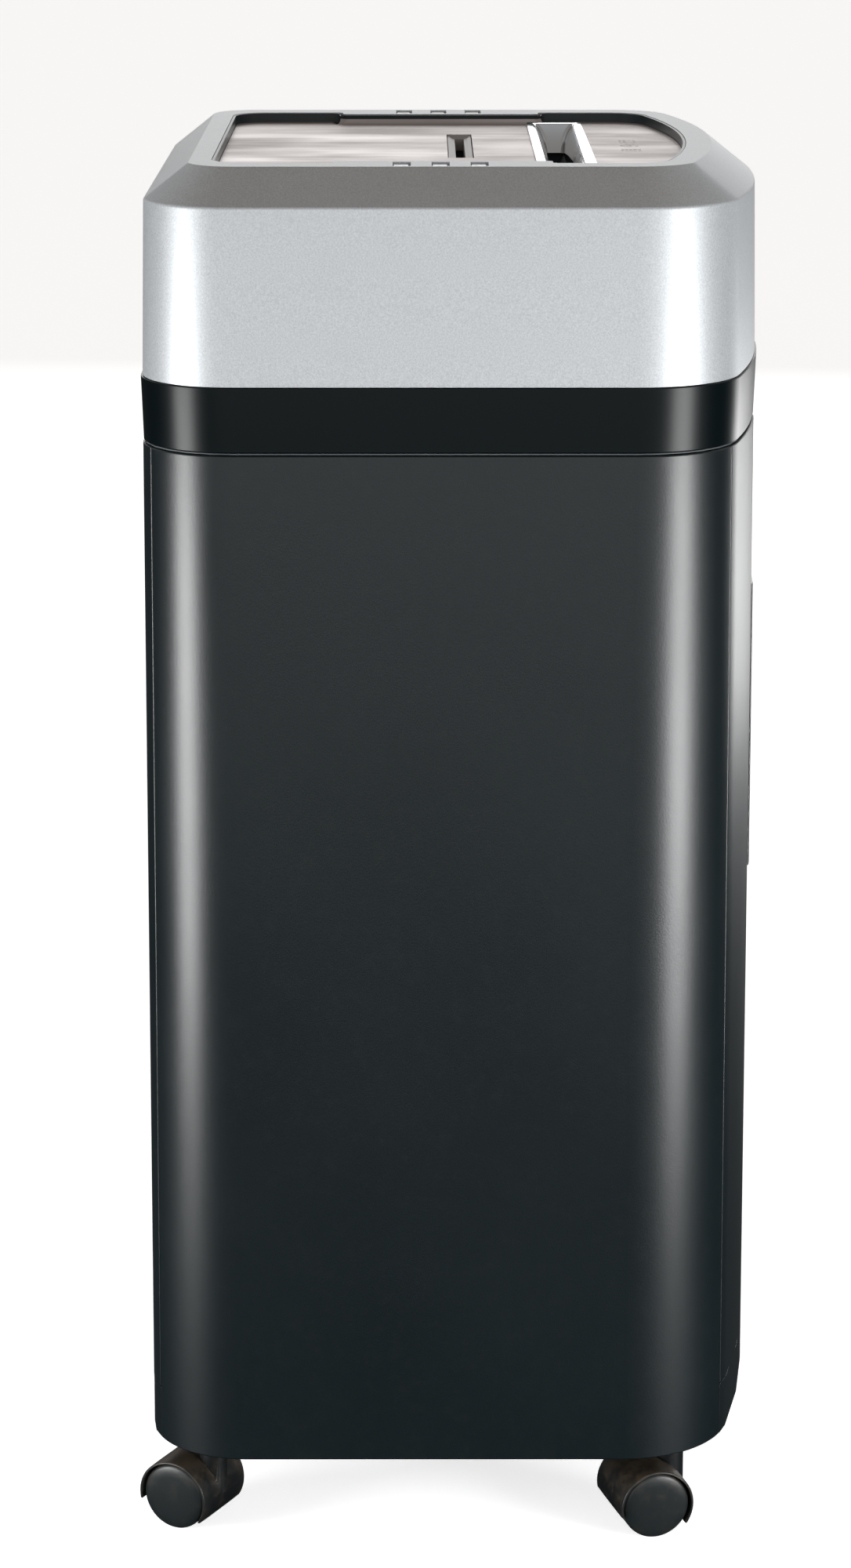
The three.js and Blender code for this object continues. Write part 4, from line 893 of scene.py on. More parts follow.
# %% panel surround
def panel_surround():
    low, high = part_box("panel_surround")
    gap, wall = 0.3 * MM, 1.5 * MM
    lining = round_upright(opening_prism("panel_surround_trim", -gap, low.z, high.z), 4 * MM, 6 * MM)
    flange = opening_prism("flange", 4 * MM, low.z, RIM_Z - HEAD_WALL - gap)
    combine(lining, flange, "UNION")
    tray = opening_prism("tray", -gap - wall, low.z + 2.5 * MM, RIM_Z + 2 * MM)
    combine(lining, round_upright(tray, 5.2 * MM, 6 * MM))
    combine(lining, opening_prism("floor_hole", -gap - 12 * MM, low.z - 2 * MM, RIM_Z))
    for node in [n for n in frame["nodes"] if n.startswith("rim_cap_")]:
        cap_low, cap_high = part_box(node)
        room = Vector((0.6, 0.6, 0)) * MM
        combine(lining, box_piece("cap_room", cap_low - room - Vector((0, 0, 0.02)), cap_high + room))
    soften(lining, 0.25 * MM, 2, 50)
    return shade(lining)


finish_piece(panel_surround(), TRIM, "frame", "dark_trim", "panel_surround")

# %% [markdown]
# ## The top panel
#
# The panel is a flat sheet that drops into the lining, with one hole for the funnel of the
# feed throat and one for the disc slot. A flat sheet needs little shaping, so the work here is
# a tight fit and a fine rounded edge that catches a line of light.

# %% top panel
def top_panel():
    inset = -2.1 * MM
    panel = opening_prism("top_panel_brushed", inset, panel_low.z, panel_high.z)
    round_upright(panel, 5.4 * MM, 6 * MM)
    gap = 0.3 * MM
    throat_y = (throat_low.y + throat_high.y) / 2
    half_throat = (throat_high.y - throat_low.y) / 2 - 3.5 * MM
    hole_low = (throat_low.x + 3.5 * MM - gap, throat_y - half_throat, panel_low.z - MM)
    hole_high = (throat_high.x - 3.5 * MM + gap, throat_y + half_throat, panel_high.z + MM)
    combine(panel, box_piece("throat_hole", hole_low, hole_high))
    bezel_gap = Vector((gap, gap, 4 * MM))
    combine(panel, box_piece("bezel_hole", bezel_low - bezel_gap, bezel_high + bezel_gap))
    soften(panel, 0.2 * MM, 2, 50)
    return shade(panel)


finish_piece(top_panel(), BRUSHED, "frame", "brushed_panel", "top_panel")

# %% [markdown]
# ## The plated feed throat
#
# The throat guides the sheet: a flat flange rests on the panel, and the inner walls fall in a
# concave sweep to the narrow mouth. It is lofted through rounded rectangles whose width and
# height follow a quarter ellipse, which gives the mirror the long curved reflections that make
# plated plastic look plated. A small round at the top of the sweep keeps the lip bright.

# %% feed throat
THROAT_FLANGE = 1.6 * MM
MOUTH_WIDTH = 11 * MM
PAPER_WIDTH = 230 * MM


def rounded_rectangle(centre_y, half_x, half_y, radius, z, steps=7):
    """Ring of points of a rectangle with round corners, anticlockwise."""
    points = []
    corners = ((1, 1, 0), (-1, 1, 1), (-1, -1, 2), (1, -1, 3))
    for sign_x, sign_y, quarter in corners:
        centre = (sign_x * (half_x - radius), centre_y + sign_y * (half_y - radius))
        start = quarter * math.pi / 2
        points += arc(centre, radius, start, start + math.pi / 2, steps)
    return [Vector((p.x, p.y, z)) for p in points]


def feed_throat():
    centre_y = (throat_low.y + throat_high.y) / 2
    half_x = (throat_high.x - throat_low.x) / 2
    half_y = (throat_high.y - throat_low.y) / 2
    top, bottom = throat_high.z, throat_low.z
    flange_bottom = top - THROAT_FLANGE
    body_x = half_x - 3.5 * MM - 0.05 * MM
    body_y = half_y - 3.8 * MM
    rings = [
        rounded_rectangle(centre_y, body_x, body_y, 2 * MM, bottom),
        rounded_rectangle(centre_y, body_x, body_y, 2 * MM, flange_bottom),
        rounded_rectangle(centre_y, half_x - 0.3 * MM, half_y - 0.3 * MM, 1.6 * MM, flange_bottom),
        rounded_rectangle(centre_y, half_x, half_y, 1.8 * MM, flange_bottom + 0.3 * MM),
        rounded_rectangle(centre_y, half_x, half_y, 1.8 * MM, top - 0.5 * MM),
        rounded_rectangle(centre_y, half_x - 0.15 * MM, half_y - 0.15 * MM, 1.7 * MM, top - 0.15 * MM),
        rounded_rectangle(centre_y, half_x - 0.5 * MM, half_y - 0.5 * MM, 1.5 * MM, top),
    ]
    mouth_x = PAPER_WIDTH / 2
    open_y = half_y - 5 * MM
    rings.append(rounded_rectangle(centre_y, mouth_x + 1.6 * MM, open_y + 1.6 * MM, 3 * MM, top))
    for step in range(13):
        turn = math.pi / 2 * step / 12
        ease_in = 1 - math.cos(turn) if step else 0
        drop = (top - bottom - 0.5 * MM) * (1 - math.cos(turn)) ** 0.8
        closing = math.sin(turn) ** 1.25
        half = open_y + (MOUTH_WIDTH / 2 - open_y) * closing
        end = mouth_x - 6 * MM * ease_in
        rings.append(rounded_rectangle(centre_y, end, half, 2.6 * MM, top - 0.5 * MM - drop))
    throat = lofted("feed_throat_plated", rings)
    only(throat)
    cut_ends(throat, bottom)
    return shade(throat, 40)


def cut_ends(throat, bottom):
    """Open the funnel: remove the face that closes its mouth and the one under the flange."""
    bpy.ops.object.mode_set(mode="EDIT")
    bpy.ops.mesh.select_all(action="DESELECT")
    mesh = bmesh.from_edit_mesh(throat.data)
    ends = [f for f in mesh.faces if len(f.verts) > 8 and abs(f.calc_center_median().z - bottom) < 0.2 * MM]
    for face in ends:
        face.select = True
    bmesh.update_edit_mesh(throat.data)
    bpy.ops.mesh.delete(type="ONLY_FACE")
    mesh = bmesh.from_edit_mesh(throat.data)
    for edge in mesh.edges:
        edge.select = edge.is_boundary
    bmesh.update_edit_mesh(throat.data)
    bpy.ops.mesh.bridge_edge_loops()
    bpy.ops.mesh.select_all(action="SELECT")
    bpy.ops.mesh.normals_make_consistent(inside=False)
    bpy.ops.object.mode_set(mode="OBJECT")


finish_piece(feed_throat(), CHROME, "frame", "chrome", "feed_throat")

# %% [markdown]
# ## Disc slot
#
# Beside the throat a narrower slot takes discs and cards. Its frame sits one millimetre below
# the panel and its face dips gently towards the slot, so it reads as a soft recess.

# %% disc slot bezel
SLOT_LENGTH = 122.5 * MM
SLOT_WIDTH = 5 * MM


def disc_slot_bezel():
    centre_y = (bezel_low.y + bezel_high.y) / 2
    half_x = (bezel_high.x - bezel_low.x) / 2
    half_y = (bezel_high.y - bezel_low.y) / 2
    top, bottom = bezel_high.z, bezel_low.z
    slot_x, slot_y = SLOT_LENGTH / 2, SLOT_WIDTH / 2
    rings = [
        rounded_rectangle(centre_y, half_x, half_y, 1 * MM, bottom),
        rounded_rectangle(centre_y, half_x, half_y, 1 * MM, top - 0.3 * MM),
        rounded_rectangle(centre_y, half_x - 0.3 * MM, half_y - 0.3 * MM, 0.8 * MM, top),
        rounded_rectangle(centre_y, half_x - 1.2 * MM, half_y - 1.2 * MM, 0.8 * MM, top),
        rounded_rectangle(centre_y, slot_x + 1.2 * MM, slot_y + 1.6 * MM, 0.8 * MM, top - 0.9 * MM),
        rounded_rectangle(centre_y, slot_x + 0.3 * MM, slot_y + 0.3 * MM, 0.5 * MM, top - 1.1 * MM),
        rounded_rectangle(centre_y, slot_x, slot_y, 0.4 * MM, top - 1.5 * MM),
        rounded_rectangle(centre_y, slot_x, slot_y, 0.4 * MM, bottom + 0.01 * MM),
    ]
    bezel = lofted("disc_slot_bezel_trim", rings)
    only(bezel)
    cut_ends(bezel, bottom)
    return shade(bezel, 40)


BEZEL = plain_plastic("bezel_plastic", (150, 146, 143), (172, 168, 165), 0.36, 0.46, 500.0)
finish_piece(disc_slot_bezel(), BEZEL, "frame", "dark_trim", "disc_slot_bezel")

# %% [markdown]
# ## Inserts in the rim
#
# Three small domed inserts sit in each side of the rim. One is a block whose top edges are
# rolled over by a wide bevel; the other five repeat it at their own pockets.

# %% rim caps
def rim_cap(node):
    low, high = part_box(node)
    cap = box_piece(node + "_domed", low, high)
    only(cap)
    bpy.ops.object.mode_set(mode="EDIT")
    bpy.ops.mesh.select_all(action="DESELECT")
    mesh = bmesh.from_edit_mesh(cap.data)
    for edge in mesh.edges:
        at_top = all(v.co.z > high.z - MM for v in edge.verts)
        along_x = abs(edge.verts[0].co.x - edge.verts[1].co.x) > MM
        edge.select = at_top and along_x
    mesh.select_flush_mode()
    bmesh.update_edit_mesh(cap.data)
    bpy.ops.mesh.bevel(offset=1.9 * MM, segments=6, affect="EDGES")
    bpy.ops.object.mode_set(mode="OBJECT")
    soften(cap, 0.4 * MM, 3, 50)
    return shade(cap, 40)


for node in sorted(n for n in frame["nodes"] if n.startswith("rim_cap_")):
    finish_piece(rim_cap(node), LENS, "frame", "lens", node)

# %% [markdown]
# ## Collar
#
# The black collar is the band between the silver head and the cabinet. It leans out a little
# towards the head and ends in a shadow groove. Its wall follows the casing outline inside and
# out, so it is lofted up the outside, over the top and down the inside, and then joined to
# itself at the bottom.

# %% collar
def closed_band(name, profile):
    """A ring-shaped wall: rings up the outside and down the inside, joined at the bottom."""
    rings = [level(full_ring(CASING, growth), z) for z, growth in profile]
    band = lofted(name, rings)
    only(band)
    bottom = profile[0][0]
    cut_ends(band, bottom)
    return band


def collar():
    low_z, high_z = COLLAR_Z, COLLAR_TOP_Z
    wall = HEAD_WALL
    foot = (low_z, -0.4 * MM)
    top = (high_z, 0.7 * MM)
    profile = [(low_z, foot[1] - 0.8 * MM)]
    profile += turned((low_z, foot[1] - 2 * MM), foot, top, 0.6 * MM, 3)
    profile += turned(foot, top, (high_z, top[1] - 3 * MM), 0.5 * MM, 3)
    profile += [(high_z, top[1] - wall), (low_z, foot[1] - wall)]
    return shade(closed_band("collar_band", profile), 34)


finish_piece(collar(), GLOSS, "frame", "black_satin", "collar_frame")

# %% [markdown]
# ## Cabinet walls
#
# The cabinet is four curved walls: two side panels that wrap round the corners, a rear panel,
# and the front of the bin. Each is a stretch of the casing outline with a wall thickness. The
# ring of such a wall is its outer path followed by its inner path backwards, and the loft
# carries that ring from the base to the top, growing with the flare of the cabinet.

# %% wall lofting
WALL = 3 * MM
WALL_LEVELS = 9


def wall_piece(name, path, low_z, high_z):
    """A curved wall between two heights. `path` gives the outline for a growth."""
    rings = []
    for number in range(WALL_LEVELS):
        z = low_z + (high_z - low_z) * number / (WALL_LEVELS - 1)
        ring = path(flare(z)) + list(reversed(path(flare(z) - WALL)))
        rings.append(level(ring, z))
    return lofted(name, rings)


# %% side panels
for side, node in ((-1, "side_panel_left"), (1, "side_panel_right")):
    panel = wall_piece(node + "_moulded", lambda growth, s=side: side_path(growth, s), BASE_Z, CABINET_Z)
    soften(panel, 0.9 * MM, 4, 45)
    shade(panel, 34)
    finish_piece(panel, BLACK, "frame", "black_satin", node)

# %% [markdown]
# The rear panel has a hole for the power inlet, one for the switch, and a row of ventilation
# slots. They are cut before the edges are rounded, so every opening gets the same soft edge.

# %% rear panel
VENT_COUNT = 7
VENT_PITCH = 13 * MM
VENT_FIRST_X = 40 * MM
VENT_SIZE = Vector((3.9, 0, 26.6)) * MM


def rear_panel():
    seam = rear_high.x
    panel = wall_piece("rear_panel_moulded", lambda growth: rear_path(growth, seam), SKIRT_Z, CABINET_Z)
    inlet_low, inlet_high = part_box("power_inlet")
    rocker_low, rocker_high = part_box("rocker_switch")
    middle_z = (inlet_low.z + inlet_high.z) / 2
    back, front = inlet_high.y + 8 * MM, inlet_high.y - 12 * MM
    gap = 0.3 * MM
    cut = box_piece("inlet_cut", (inlet_low.x - gap, front, inlet_low.z - gap),
                    (inlet_high.x + gap, back, inlet_high.z + gap))
    combine(panel, cut)
    rocker_x = (rocker_low.x + rocker_high.x) / 2
    half = Vector((7.3, 0, 10.3)) * MM
    cut = box_piece("rocker_cut", (rocker_x - half.x, front, middle_z - half.z),
                    (rocker_x + half.x, back, middle_z + half.z))
    combine(panel, cut)
    for number in range(VENT_COUNT):
        x = VENT_FIRST_X + number * VENT_PITCH
        low = (x - VENT_SIZE.x / 2, front, middle_z - VENT_SIZE.z / 2)
        high = (x + VENT_SIZE.x / 2, back, middle_z + VENT_SIZE.z / 2)
        combine(panel, box_piece("vent_cut", low, high))
    soften(panel, 0.5 * MM, 3, 45)
    return shade(panel, 34)


finish_piece(rear_panel(), BLACK, "frame", "black_satin", "rear_panel")

# %% [markdown]
# ## Front of the bin
#
# The bin's front is the bowed wall that the hand pulls. It has a window low in its upper half
# and a notch for the finger cup at the top.

# %% bin front
def bin_front():
    seam = front_high.x
    panel = wall_piece("bin_front_moulded", lambda growth: front_path(growth, seam), SKIRT_Z, CABINET_Z)
    gap = 0.3 * MM
    for node, above in (("bin_window", gap), ("bin_grip", 8 * MM)):
        low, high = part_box(node)
        cut = box_piece(node + "_cut", (low.x - gap, front_low.y - 4 * MM, low.z - gap),
                        (high.x + gap, front_low.y + 30 * MM, high.z + above))
        combine(panel, cut)
    soften(panel, 0.7 * MM, 4, 45)
    return shade(panel, 34)


finish_piece(bin_front(), BLACK, "bin", "black_satin", "bin_front")

# %% [markdown]
# ## Window, finger cup, base and rear fittings
#
# These parts already have the right shape in the working model, and only lack their rounded
# edges. A merged copy of each solid is bevelled, which is quicker than modelling them anew and
# can't drift from the fit of the working model.

# %% parts that start from a copy of the working model
COPIES = [
    ("bin_window", "bin_window_clear", WINDOW, "bin", "tinted_window", 0.5),
    ("bin_grip", "bin_grip_cup", TRIM, "bin", "dark_trim", 0.6),
    ("waste_bin", "waste_bin_box", GREY, "bin", "grey_plastic", 0.8),
    ("base_pan", "base_pan_moulded", BLACK, "frame", "black_satin", 0.5),
    ("power_inlet", "power_inlet_socket", TRIM, "frame", "dark_trim", 0.4),
    ("rocker_switch", "rocker_paddle", ROCKER, "rocker", "dark_trim", 0.35),
    ("mechanism_deck", "mechanism_deck_plate", GREY, "frame", "grey_plastic", 0.3),
]
for node, name, material, body, slot, width in COPIES:
    part = copy_of_node(node, name)
    soften(part, width * MM, 3, 45)
    shade(part, 34)
    finish_piece(part, material, body, slot, node)

# %% [markdown]
# ## Casters
#
# Each caster has a barrel-shaped hood over two wheels. Seen from the side, the hood shows a
# bright ring, then a narrow dark gap, then the domed face of the wheel. The barrel is turned
# about the axle from a profile, the underside is cut away on a slope, and the boss for the
# stem is added at its rear. The caster is modelled once about its own stem and then copied,
# each copy turned to the angle at which its stem stands.

# %% turning a profile about the axle
CASTER_TRAIL = 15 * MM
WHEEL_RADIUS = 20 * MM
HOOD_RADIUS = 22.4 * MM
HUB_WEB = 5 * MM
HOOD_HALF = 23.2 * MM
TURN_STEPS = 72


def turned_piece(name, profile, steps=TURN_STEPS):
    """Solid of revolution about the axle from (x, radius) pairs, both ends on the axis."""
    rings = []
    for x, radius in profile:
        ring = []
        for step in range(steps):
            angle = 2 * math.pi * step / steps
            y = CASTER_TRAIL + radius * math.sin(angle)
            ring.append(Vector((x, y, WHEEL_RADIUS + radius * math.cos(angle))))
        rings.append(ring)
    return lofted(name, rings)


# %% caster hood
HOOD_REACH = 13 * MM
HOOD_SLOPE_RISE = 9 * MM


def cut_underside(hood):
    """Slice off what lies below a slope that rises from the stem side to the rear."""
    only(hood)
    bpy.ops.object.mode_set(mode="EDIT")
    bpy.ops.mesh.select_all(action="SELECT")
    rise = math.atan2(HOOD_SLOPE_RISE, 2 * HOOD_RADIUS)
    bpy.ops.mesh.bisect(
        plane_co=(0, CASTER_TRAIL - HOOD_RADIUS, WHEEL_RADIUS - HOOD_REACH),
        plane_no=(0, math.sin(rise), -math.cos(rise)),
        use_fill=True, clear_outer=True,
    )
    bpy.ops.object.mode_set(mode="OBJECT")
    return outward(hood)


def caster_hood():
    inner = HOOD_RADIUS - 1.5 * MM
    edge = HOOD_RADIUS - 0.5 * MM
    hood = turned_piece("caster_hood", [
        (-HOOD_HALF, inner), (-HOOD_HALF, edge - 0.4 * MM), (-HOOD_HALF + 0.2 * MM, edge),
        (-HOOD_HALF + 0.7 * MM, edge + 0.3 * MM), (-HOOD_HALF * 0.5, HOOD_RADIUS),
        (HOOD_HALF * 0.5, HOOD_RADIUS), (HOOD_HALF - 0.7 * MM, edge + 0.3 * MM),
        (HOOD_HALF - 0.2 * MM, edge), (HOOD_HALF, edge - 0.4 * MM), (HOOD_HALF, inner),
    ])
    boss_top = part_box("caster_hood_left_front")[1].z
    boss = lofted("boss", [
        rounded_rectangle(0, 8 * MM, 8 * MM, 7.98 * MM, z, 9)
        for z in (WHEEL_RADIUS, boss_top - 0.6 * MM, boss_top)
    ])
    combine(hood, boss, "UNION")
    neck = box_piece("neck", (-8 * MM, 0, WHEEL_RADIUS), (8 * MM, CASTER_TRAIL, boss_top - 7 * MM))
    combine(hood, neck, "UNION")
    for side in (-1, 1):
        ends = sorted((side * HUB_WEB, side * (HOOD_HALF + 2 * MM)))
        combine(hood, turned_piece("wheel_room", [(x, inner) for x in ends]))
    well = lofted("stem_well", [
        rounded_rectangle(0, 4.8 * MM, 4.8 * MM, 4.79 * MM, z, 6)
        for z in (WHEEL_RADIUS + 6 * MM, boss_top + 2 * MM)
    ])
    combine(hood, well)
    axle_room = [(x, 3.3 * MM) for x in (-HUB_WEB - 2 * MM, HUB_WEB + 2 * MM)]
    combine(hood, turned_piece("axle_room", axle_room, 24))
    cut_underside(hood)
    soften(hood, 0.4 * MM, 3, 50)
    return shade(hood, 40)


# %% caster wheel, stem and axle
def caster_wheel():
    """Tyre with a shallow groove, and a domed cap on the outer face."""
    outer = HUB_WEB + 17 * MM
    inner = HUB_WEB + 0.4 * MM
    radius = WHEEL_RADIUS
    wheel = turned_piece("caster_wheel", [
        (inner, 3.3 * MM), (inner, radius - 1.6 * MM), (inner + 0.5 * MM, radius - 0.7 * MM),
        (inner + 1.5 * MM, radius), (outer - 3 * MM, radius), (outer - 1.9 * MM, radius - 0.2 * MM),
        (outer - 1.1 * MM, radius - 0.7 * MM), (outer - 0.5 * MM, radius - 1.5 * MM),
        (outer - 0.2 * MM, radius - 2.4 * MM), (outer + 0.3 * MM, radius - 4.5 * MM),
        (outer + 0.55 * MM, radius - 7.5 * MM), (outer + 0.75 * MM, radius - 12 * MM),
        (outer + 0.88 * MM, 3 * MM), (outer + 0.9 * MM, 0.3 * MM),
    ])
    bore = turned_piece("bore", [(inner - MM, 3.3 * MM), (outer - 2 * MM, 3.3 * MM)], 24)
    combine(wheel, bore)
    return shade(wheel, 40)


def caster_axle():
    half = HUB_WEB + 14.6 * MM
    axle = turned_piece("caster_axle", [(-half, 2.5 * MM), (-half + 0.5 * MM, 3 * MM),
                                        (half - 0.5 * MM, 3 * MM), (half, 2.5 * MM)], 32)
    return shade(axle, 40)


def caster_stem():
    low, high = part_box("caster_stem_left_front")
    rings = [
        rounded_rectangle(0, radius, radius, radius * 0.999, z, 8)
        for z, radius in ((low.z, 4.2 * MM), (low.z + 0.3 * MM, 4.5 * MM),
                          (high.z - 0.8 * MM, 4.5 * MM), (high.z, 3.7 * MM))
    ]
    return shade(lofted("caster_stem", rings), 40)


# %% copy the caster to its four places
JOINTS = {joint["name"]: joint for joint in frame["joints"]}


def placed_copy(model, name, place):
    """A copy with its own mesh, moved by a matrix."""
    piece = bpy.data.objects.new(name, model.data.copy())
    bpy.context.scene.collection.objects.link(piece)
    piece.data.transform(place)
    return piece


hood_model = caster_hood()
wheel_model = caster_wheel()
axle_model = caster_axle()
stem_model = caster_stem()
for corner in ("left_rear", "left_front", "right_rear", "right_front"):
    swivel = Vector(JOINTS["swivel_" + corner]["pos_m"])
    axis = JOINTS["roll_" + corner + "_a"]["axis"]
    angle = math.atan2(axis[1], axis[0])
    place = Matrix.Translation((swivel.x, swivel.y, 0)) @ Matrix.Rotation(angle, 4, "Z")
    body = "caster_" + corner
    node = "caster_hood_" + corner
    finish_piece(placed_copy(hood_model, node + "_barrel", place), HOOD, body, "black_satin", node)
    node = "caster_stem_" + corner
    finish_piece(placed_copy(stem_model, node + "_pin", place), ZINC, body, "zinc_steel", node)
    node = "caster_axle_" + corner
    finish_piece(placed_copy(axle_model, node + "_pin", place), ZINC, body, "zinc_steel", node)
    for end, half_turn in (("a", math.pi), ("b", 0)):
        mirror = Matrix.Translation((0, CASTER_TRAIL, 0)) @ Matrix.Rotation(half_turn, 4, "Z")
        mirror = mirror @ Matrix.Translation((0, -CASTER_TRAIL, 0))
        node = f"caster_wheel_{corner}_{end}"
        wheel = placed_copy(wheel_model, node + "_domed", place @ mirror)
        finish_piece(wheel, WHEEL, f"wheel_{corner}_{end}", "caster_nylon", node)
for model in (hood_model, wheel_model, axle_model, stem_model):
    bpy.data.objects.remove(model)

# %% [markdown]
# ## Marks on the top panel
#
# The panel carries a few small printed marks near its front edge. Here they are three plain
# pictograms that say what the slots take: a sheet, a disc and a card. Each is a thin film of
# paint, a twentieth of a millimetre high, so it is real geometry and not a picture.

# %% panel marks
MARK_Y = -100 * MM
MARK_SIZE = 11 * MM
MARK_PITCH = 24 * MM
PAINT = 0.05 * MM
LINE = 0.9 * MM
ROW_INSET = 2 * MM
STRIPE_HEIGHT = 1.6 * MM
ROUND_STEPS = 10
NEARLY_ROUND = 0.999


def line_frame(name, low, high, line=LINE):
    """A flat rectangular outline of paint."""
    frame_piece = box_piece(name, low, high)
    inset = Vector((line, line, -MM))
    return combine(frame_piece, box_piece("hole", Vector(low) + inset, Vector(high) - inset))


def round_outline(middle_y, radius, z):
    return rounded_rectangle(middle_y, radius, radius, radius * NEARLY_ROUND, z, ROUND_STEPS)


def panel_marks():
    z0, z1 = PANEL_Z, PANEL_Z + PAINT
    y0 = MARK_Y + MIDDLE_Y - MARK_SIZE / 2
    y1 = y0 + MARK_SIZE
    sheet_x = -MARK_PITCH - MARK_SIZE * 0.4
    sheet_end = sheet_x + MARK_SIZE * 0.8
    parts = [line_frame("panel_marks", (sheet_x, y0, z0), (sheet_end, y1, z1))]
    for row in range(3):
        y = y0 + MARK_SIZE * (0.28 + 0.2 * row)
        row_low = (sheet_x + ROW_INSET, y, z0)
        parts.append(box_piece("row", row_low, (sheet_end - ROW_INSET, y + LINE, z1)))
    middle_y = (y0 + y1) / 2
    for outer, inner in ((MARK_SIZE / 2, MARK_SIZE / 2 - LINE), (1.6 * MM, 0.8 * MM)):
        bpy.ops.object.select_all(action="DESELECT")
        disc = lofted("disc_mark", [round_outline(middle_y, outer, z) for z in (z0, z1)])
        hole = lofted("disc_hole", [round_outline(middle_y, inner, z) for z in (z0 - MM, z1 + MM)])
        parts.append(combine(disc, hole))
    card_x = MARK_PITCH - MARK_SIZE * 0.7
    card_y = middle_y - MARK_SIZE * 0.42
    card_end = card_x + MARK_SIZE * 1.4
    parts.append(line_frame("card", (card_x, card_y, z0), (card_end, card_y + MARK_SIZE * 0.84, z1)))
    stripe_low = (card_x + ROW_INSET, card_y + MARK_SIZE * 0.5, z0)
    stripe_high = (card_end - ROW_INSET, card_y + MARK_SIZE * 0.5 + STRIPE_HEIGHT, z1)
    parts.append(box_piece("stripe", stripe_low, stripe_high))
    bpy.ops.object.select_all(action="DESELECT")
    for part in parts:
        part.select_set(True)
    bpy.context.view_layer.objects.active = parts[0]
    bpy.ops.object.join()
    return parts[0]


finish_piece(panel_marks(), PRINT, "frame", "lens")

# %% [markdown]
# ## The mechanism keeps its shapes
#
# Cutters, combs, plates, gears, motor and board stay as the working model has them, because
# their shapes are right and they are only seen when the bin is pulled out. They take finishes
# by the names of their slots.

# %% finishes of the inner parts
SLOT_FINISH = {
    "silver_paint": SILVER, "black_satin": BLACK, "dark_trim": TRIM, "brushed_panel": BRUSHED,
    "chrome": CHROME, "tinted_window": WINDOW, "lens": LENS, "grey_plastic": GREY,
    "cutter_steel": CUTTER_STEEL, "zinc_steel": ZINC, "motor_iron": IRON, "gear_nylon": NYLON,
    "board": BOARD, "caster_nylon": WHEEL,
}
for part in frame["record"]["subparts"]:
    for material_slot in frame["nodes"][part["node"]].material_slots:
        material_slot.material = SLOT_FINISH[part["material_slot"]]

# %% [markdown]
# ## Floor and light
#
# The studio is a pale floor, an even horizon and a darker ceiling. The rim and the brushed
# panel mirror what stands behind the shredder, a large card, and the dark ceiling keeps the
# chamfer darker than the wall below it. The floor that the reflections see is dark, which
# keeps the black plastic black. At each side stand two soft lamps, a strong low one that draws
# the upright band on the black corner and a weak high one for the silver corner above it.

# %% floor
bpy.ops.object.select_all(action="DESELECT")
bpy.ops.mesh.primitive_plane_add(size=60, location=(0, 0, 0))
floor = bpy.context.object
floor.name = "studio_floor"
floor_finish = Finish("floor_paint")
rays = floor_finish.nodes.new("ShaderNodeLightPath")
seen = rays.outputs["Is Camera Ray"]
MIRRORED_FLOOR = chart(56, 56, 56)
SEEN_FLOOR = chart(240, 240, 240)
floor_finish.colour(floor_finish.blend(seen, MIRRORED_FLOOR, SEEN_FLOOR))
floor_finish.roughness(0.9)
floor_finish.shader.inputs["Specular IOR Level"].default_value = 0.1
floor_finish.shader.inputs["Emission Color"].default_value = (1, 1, 1, 1)
floor_finish.join(floor_finish.between(seen, 0.0, 0.7), floor_finish.shader.inputs["Emission Strength"])
floor.data.materials.append(floor_finish.material)

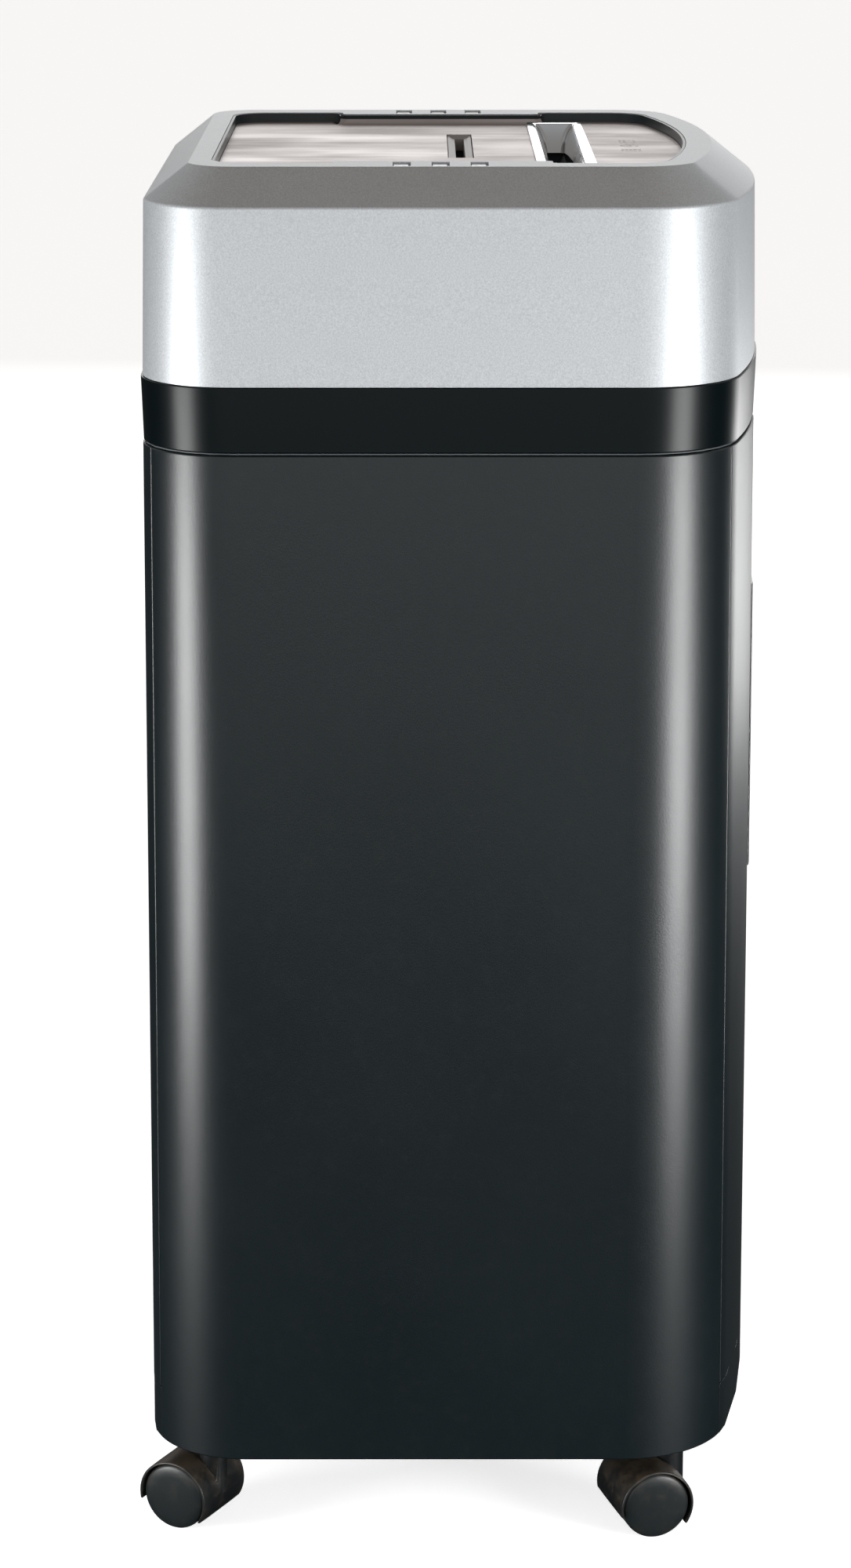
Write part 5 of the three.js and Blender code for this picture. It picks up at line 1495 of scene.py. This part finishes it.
# %% world
HORIZON_TOP = 0.35
CEILING_START = 0.9
WORLD_STRENGTH = 0.36
world = bpy.data.worlds.new("studio")
bpy.context.scene.world = world
world.use_nodes = True
tree = world.node_tree
background = tree.nodes["Background"]
direction = tree.nodes.new("ShaderNodeTexCoord")
split = tree.nodes.new("ShaderNodeSeparateXYZ")
height = tree.nodes.new("ShaderNodeMapRange")
height.interpolation_type = "SMOOTHSTEP"
height.inputs["From Min"].default_value = HORIZON_TOP
height.inputs["From Max"].default_value = CEILING_START
height.inputs["To Min"].default_value = 1.0
height.inputs["To Max"].default_value = 0.0
ramp = tree.nodes.new("ShaderNodeMix")
ramp.data_type = "RGBA"
ramp.inputs[6].default_value = (0.56, 0.49, 0.43, 1)
ramp.inputs[7].default_value = (1.0, 1.0, 1.0, 1)
tree.links.new(direction.outputs["Generated"], split.inputs["Vector"])
tree.links.new(split.outputs["Z"], height.inputs["Value"])
tree.links.new(height.outputs["Result"], ramp.inputs["Factor"])
tree.links.new(ramp.outputs[2], background.inputs["Color"])
background.inputs["Strength"].default_value = WORLD_STRENGTH
print("world ready")


# %% lamps
def soft_lamp(name, place, target, width, height, power):
    bpy.ops.object.light_add(type="AREA", location=place)
    lamp = bpy.context.object
    lamp.name = name
    lamp.data.shape = "RECTANGLE"
    lamp.data.size = width
    lamp.data.size_y = height
    lamp.data.energy = power
    lamp.rotation_euler = (Vector(target) - Vector(place)).to_track_quat("-Z", "Y").to_euler()
    return lamp


soft_lamp("lamp_rear_side_low", (-0.62, 1.12, 0.27), (-0.15, 0.15, 0.27), 0.46, 0.5, 14)
soft_lamp("lamp_rear_side_high", (-0.62, 1.12, 1.03), (-0.15, 0.15, 0.8), 0.46, 1.0, 0.7)
soft_lamp("lamp_front_side_low", (-0.85, -1.0, 0.27), (-0.15, -0.1, 0.27), 0.42, 0.5, 15)
soft_lamp("lamp_front_side_high", (-0.85, -1.0, 1.03), (-0.15, -0.1, 0.8), 0.42, 1.0, 0.7)
soft_lamp("lamp_bow", (1.5, -1.2, 0.19), (0, -0.17, 0.19), 0.8, 0.36, 4)
soft_lamp("card_behind_camera", (-2.8, 0, 0.55), (0, 0, 0.55), 2.8, 1.1, 10)
soft_lamp("backdrop_card", (4, -0.3, 1.5), (0, 0, 0.8), 2.6, 1.8, 26)
bpy.context.scene.view_settings.view_transform = "Standard"
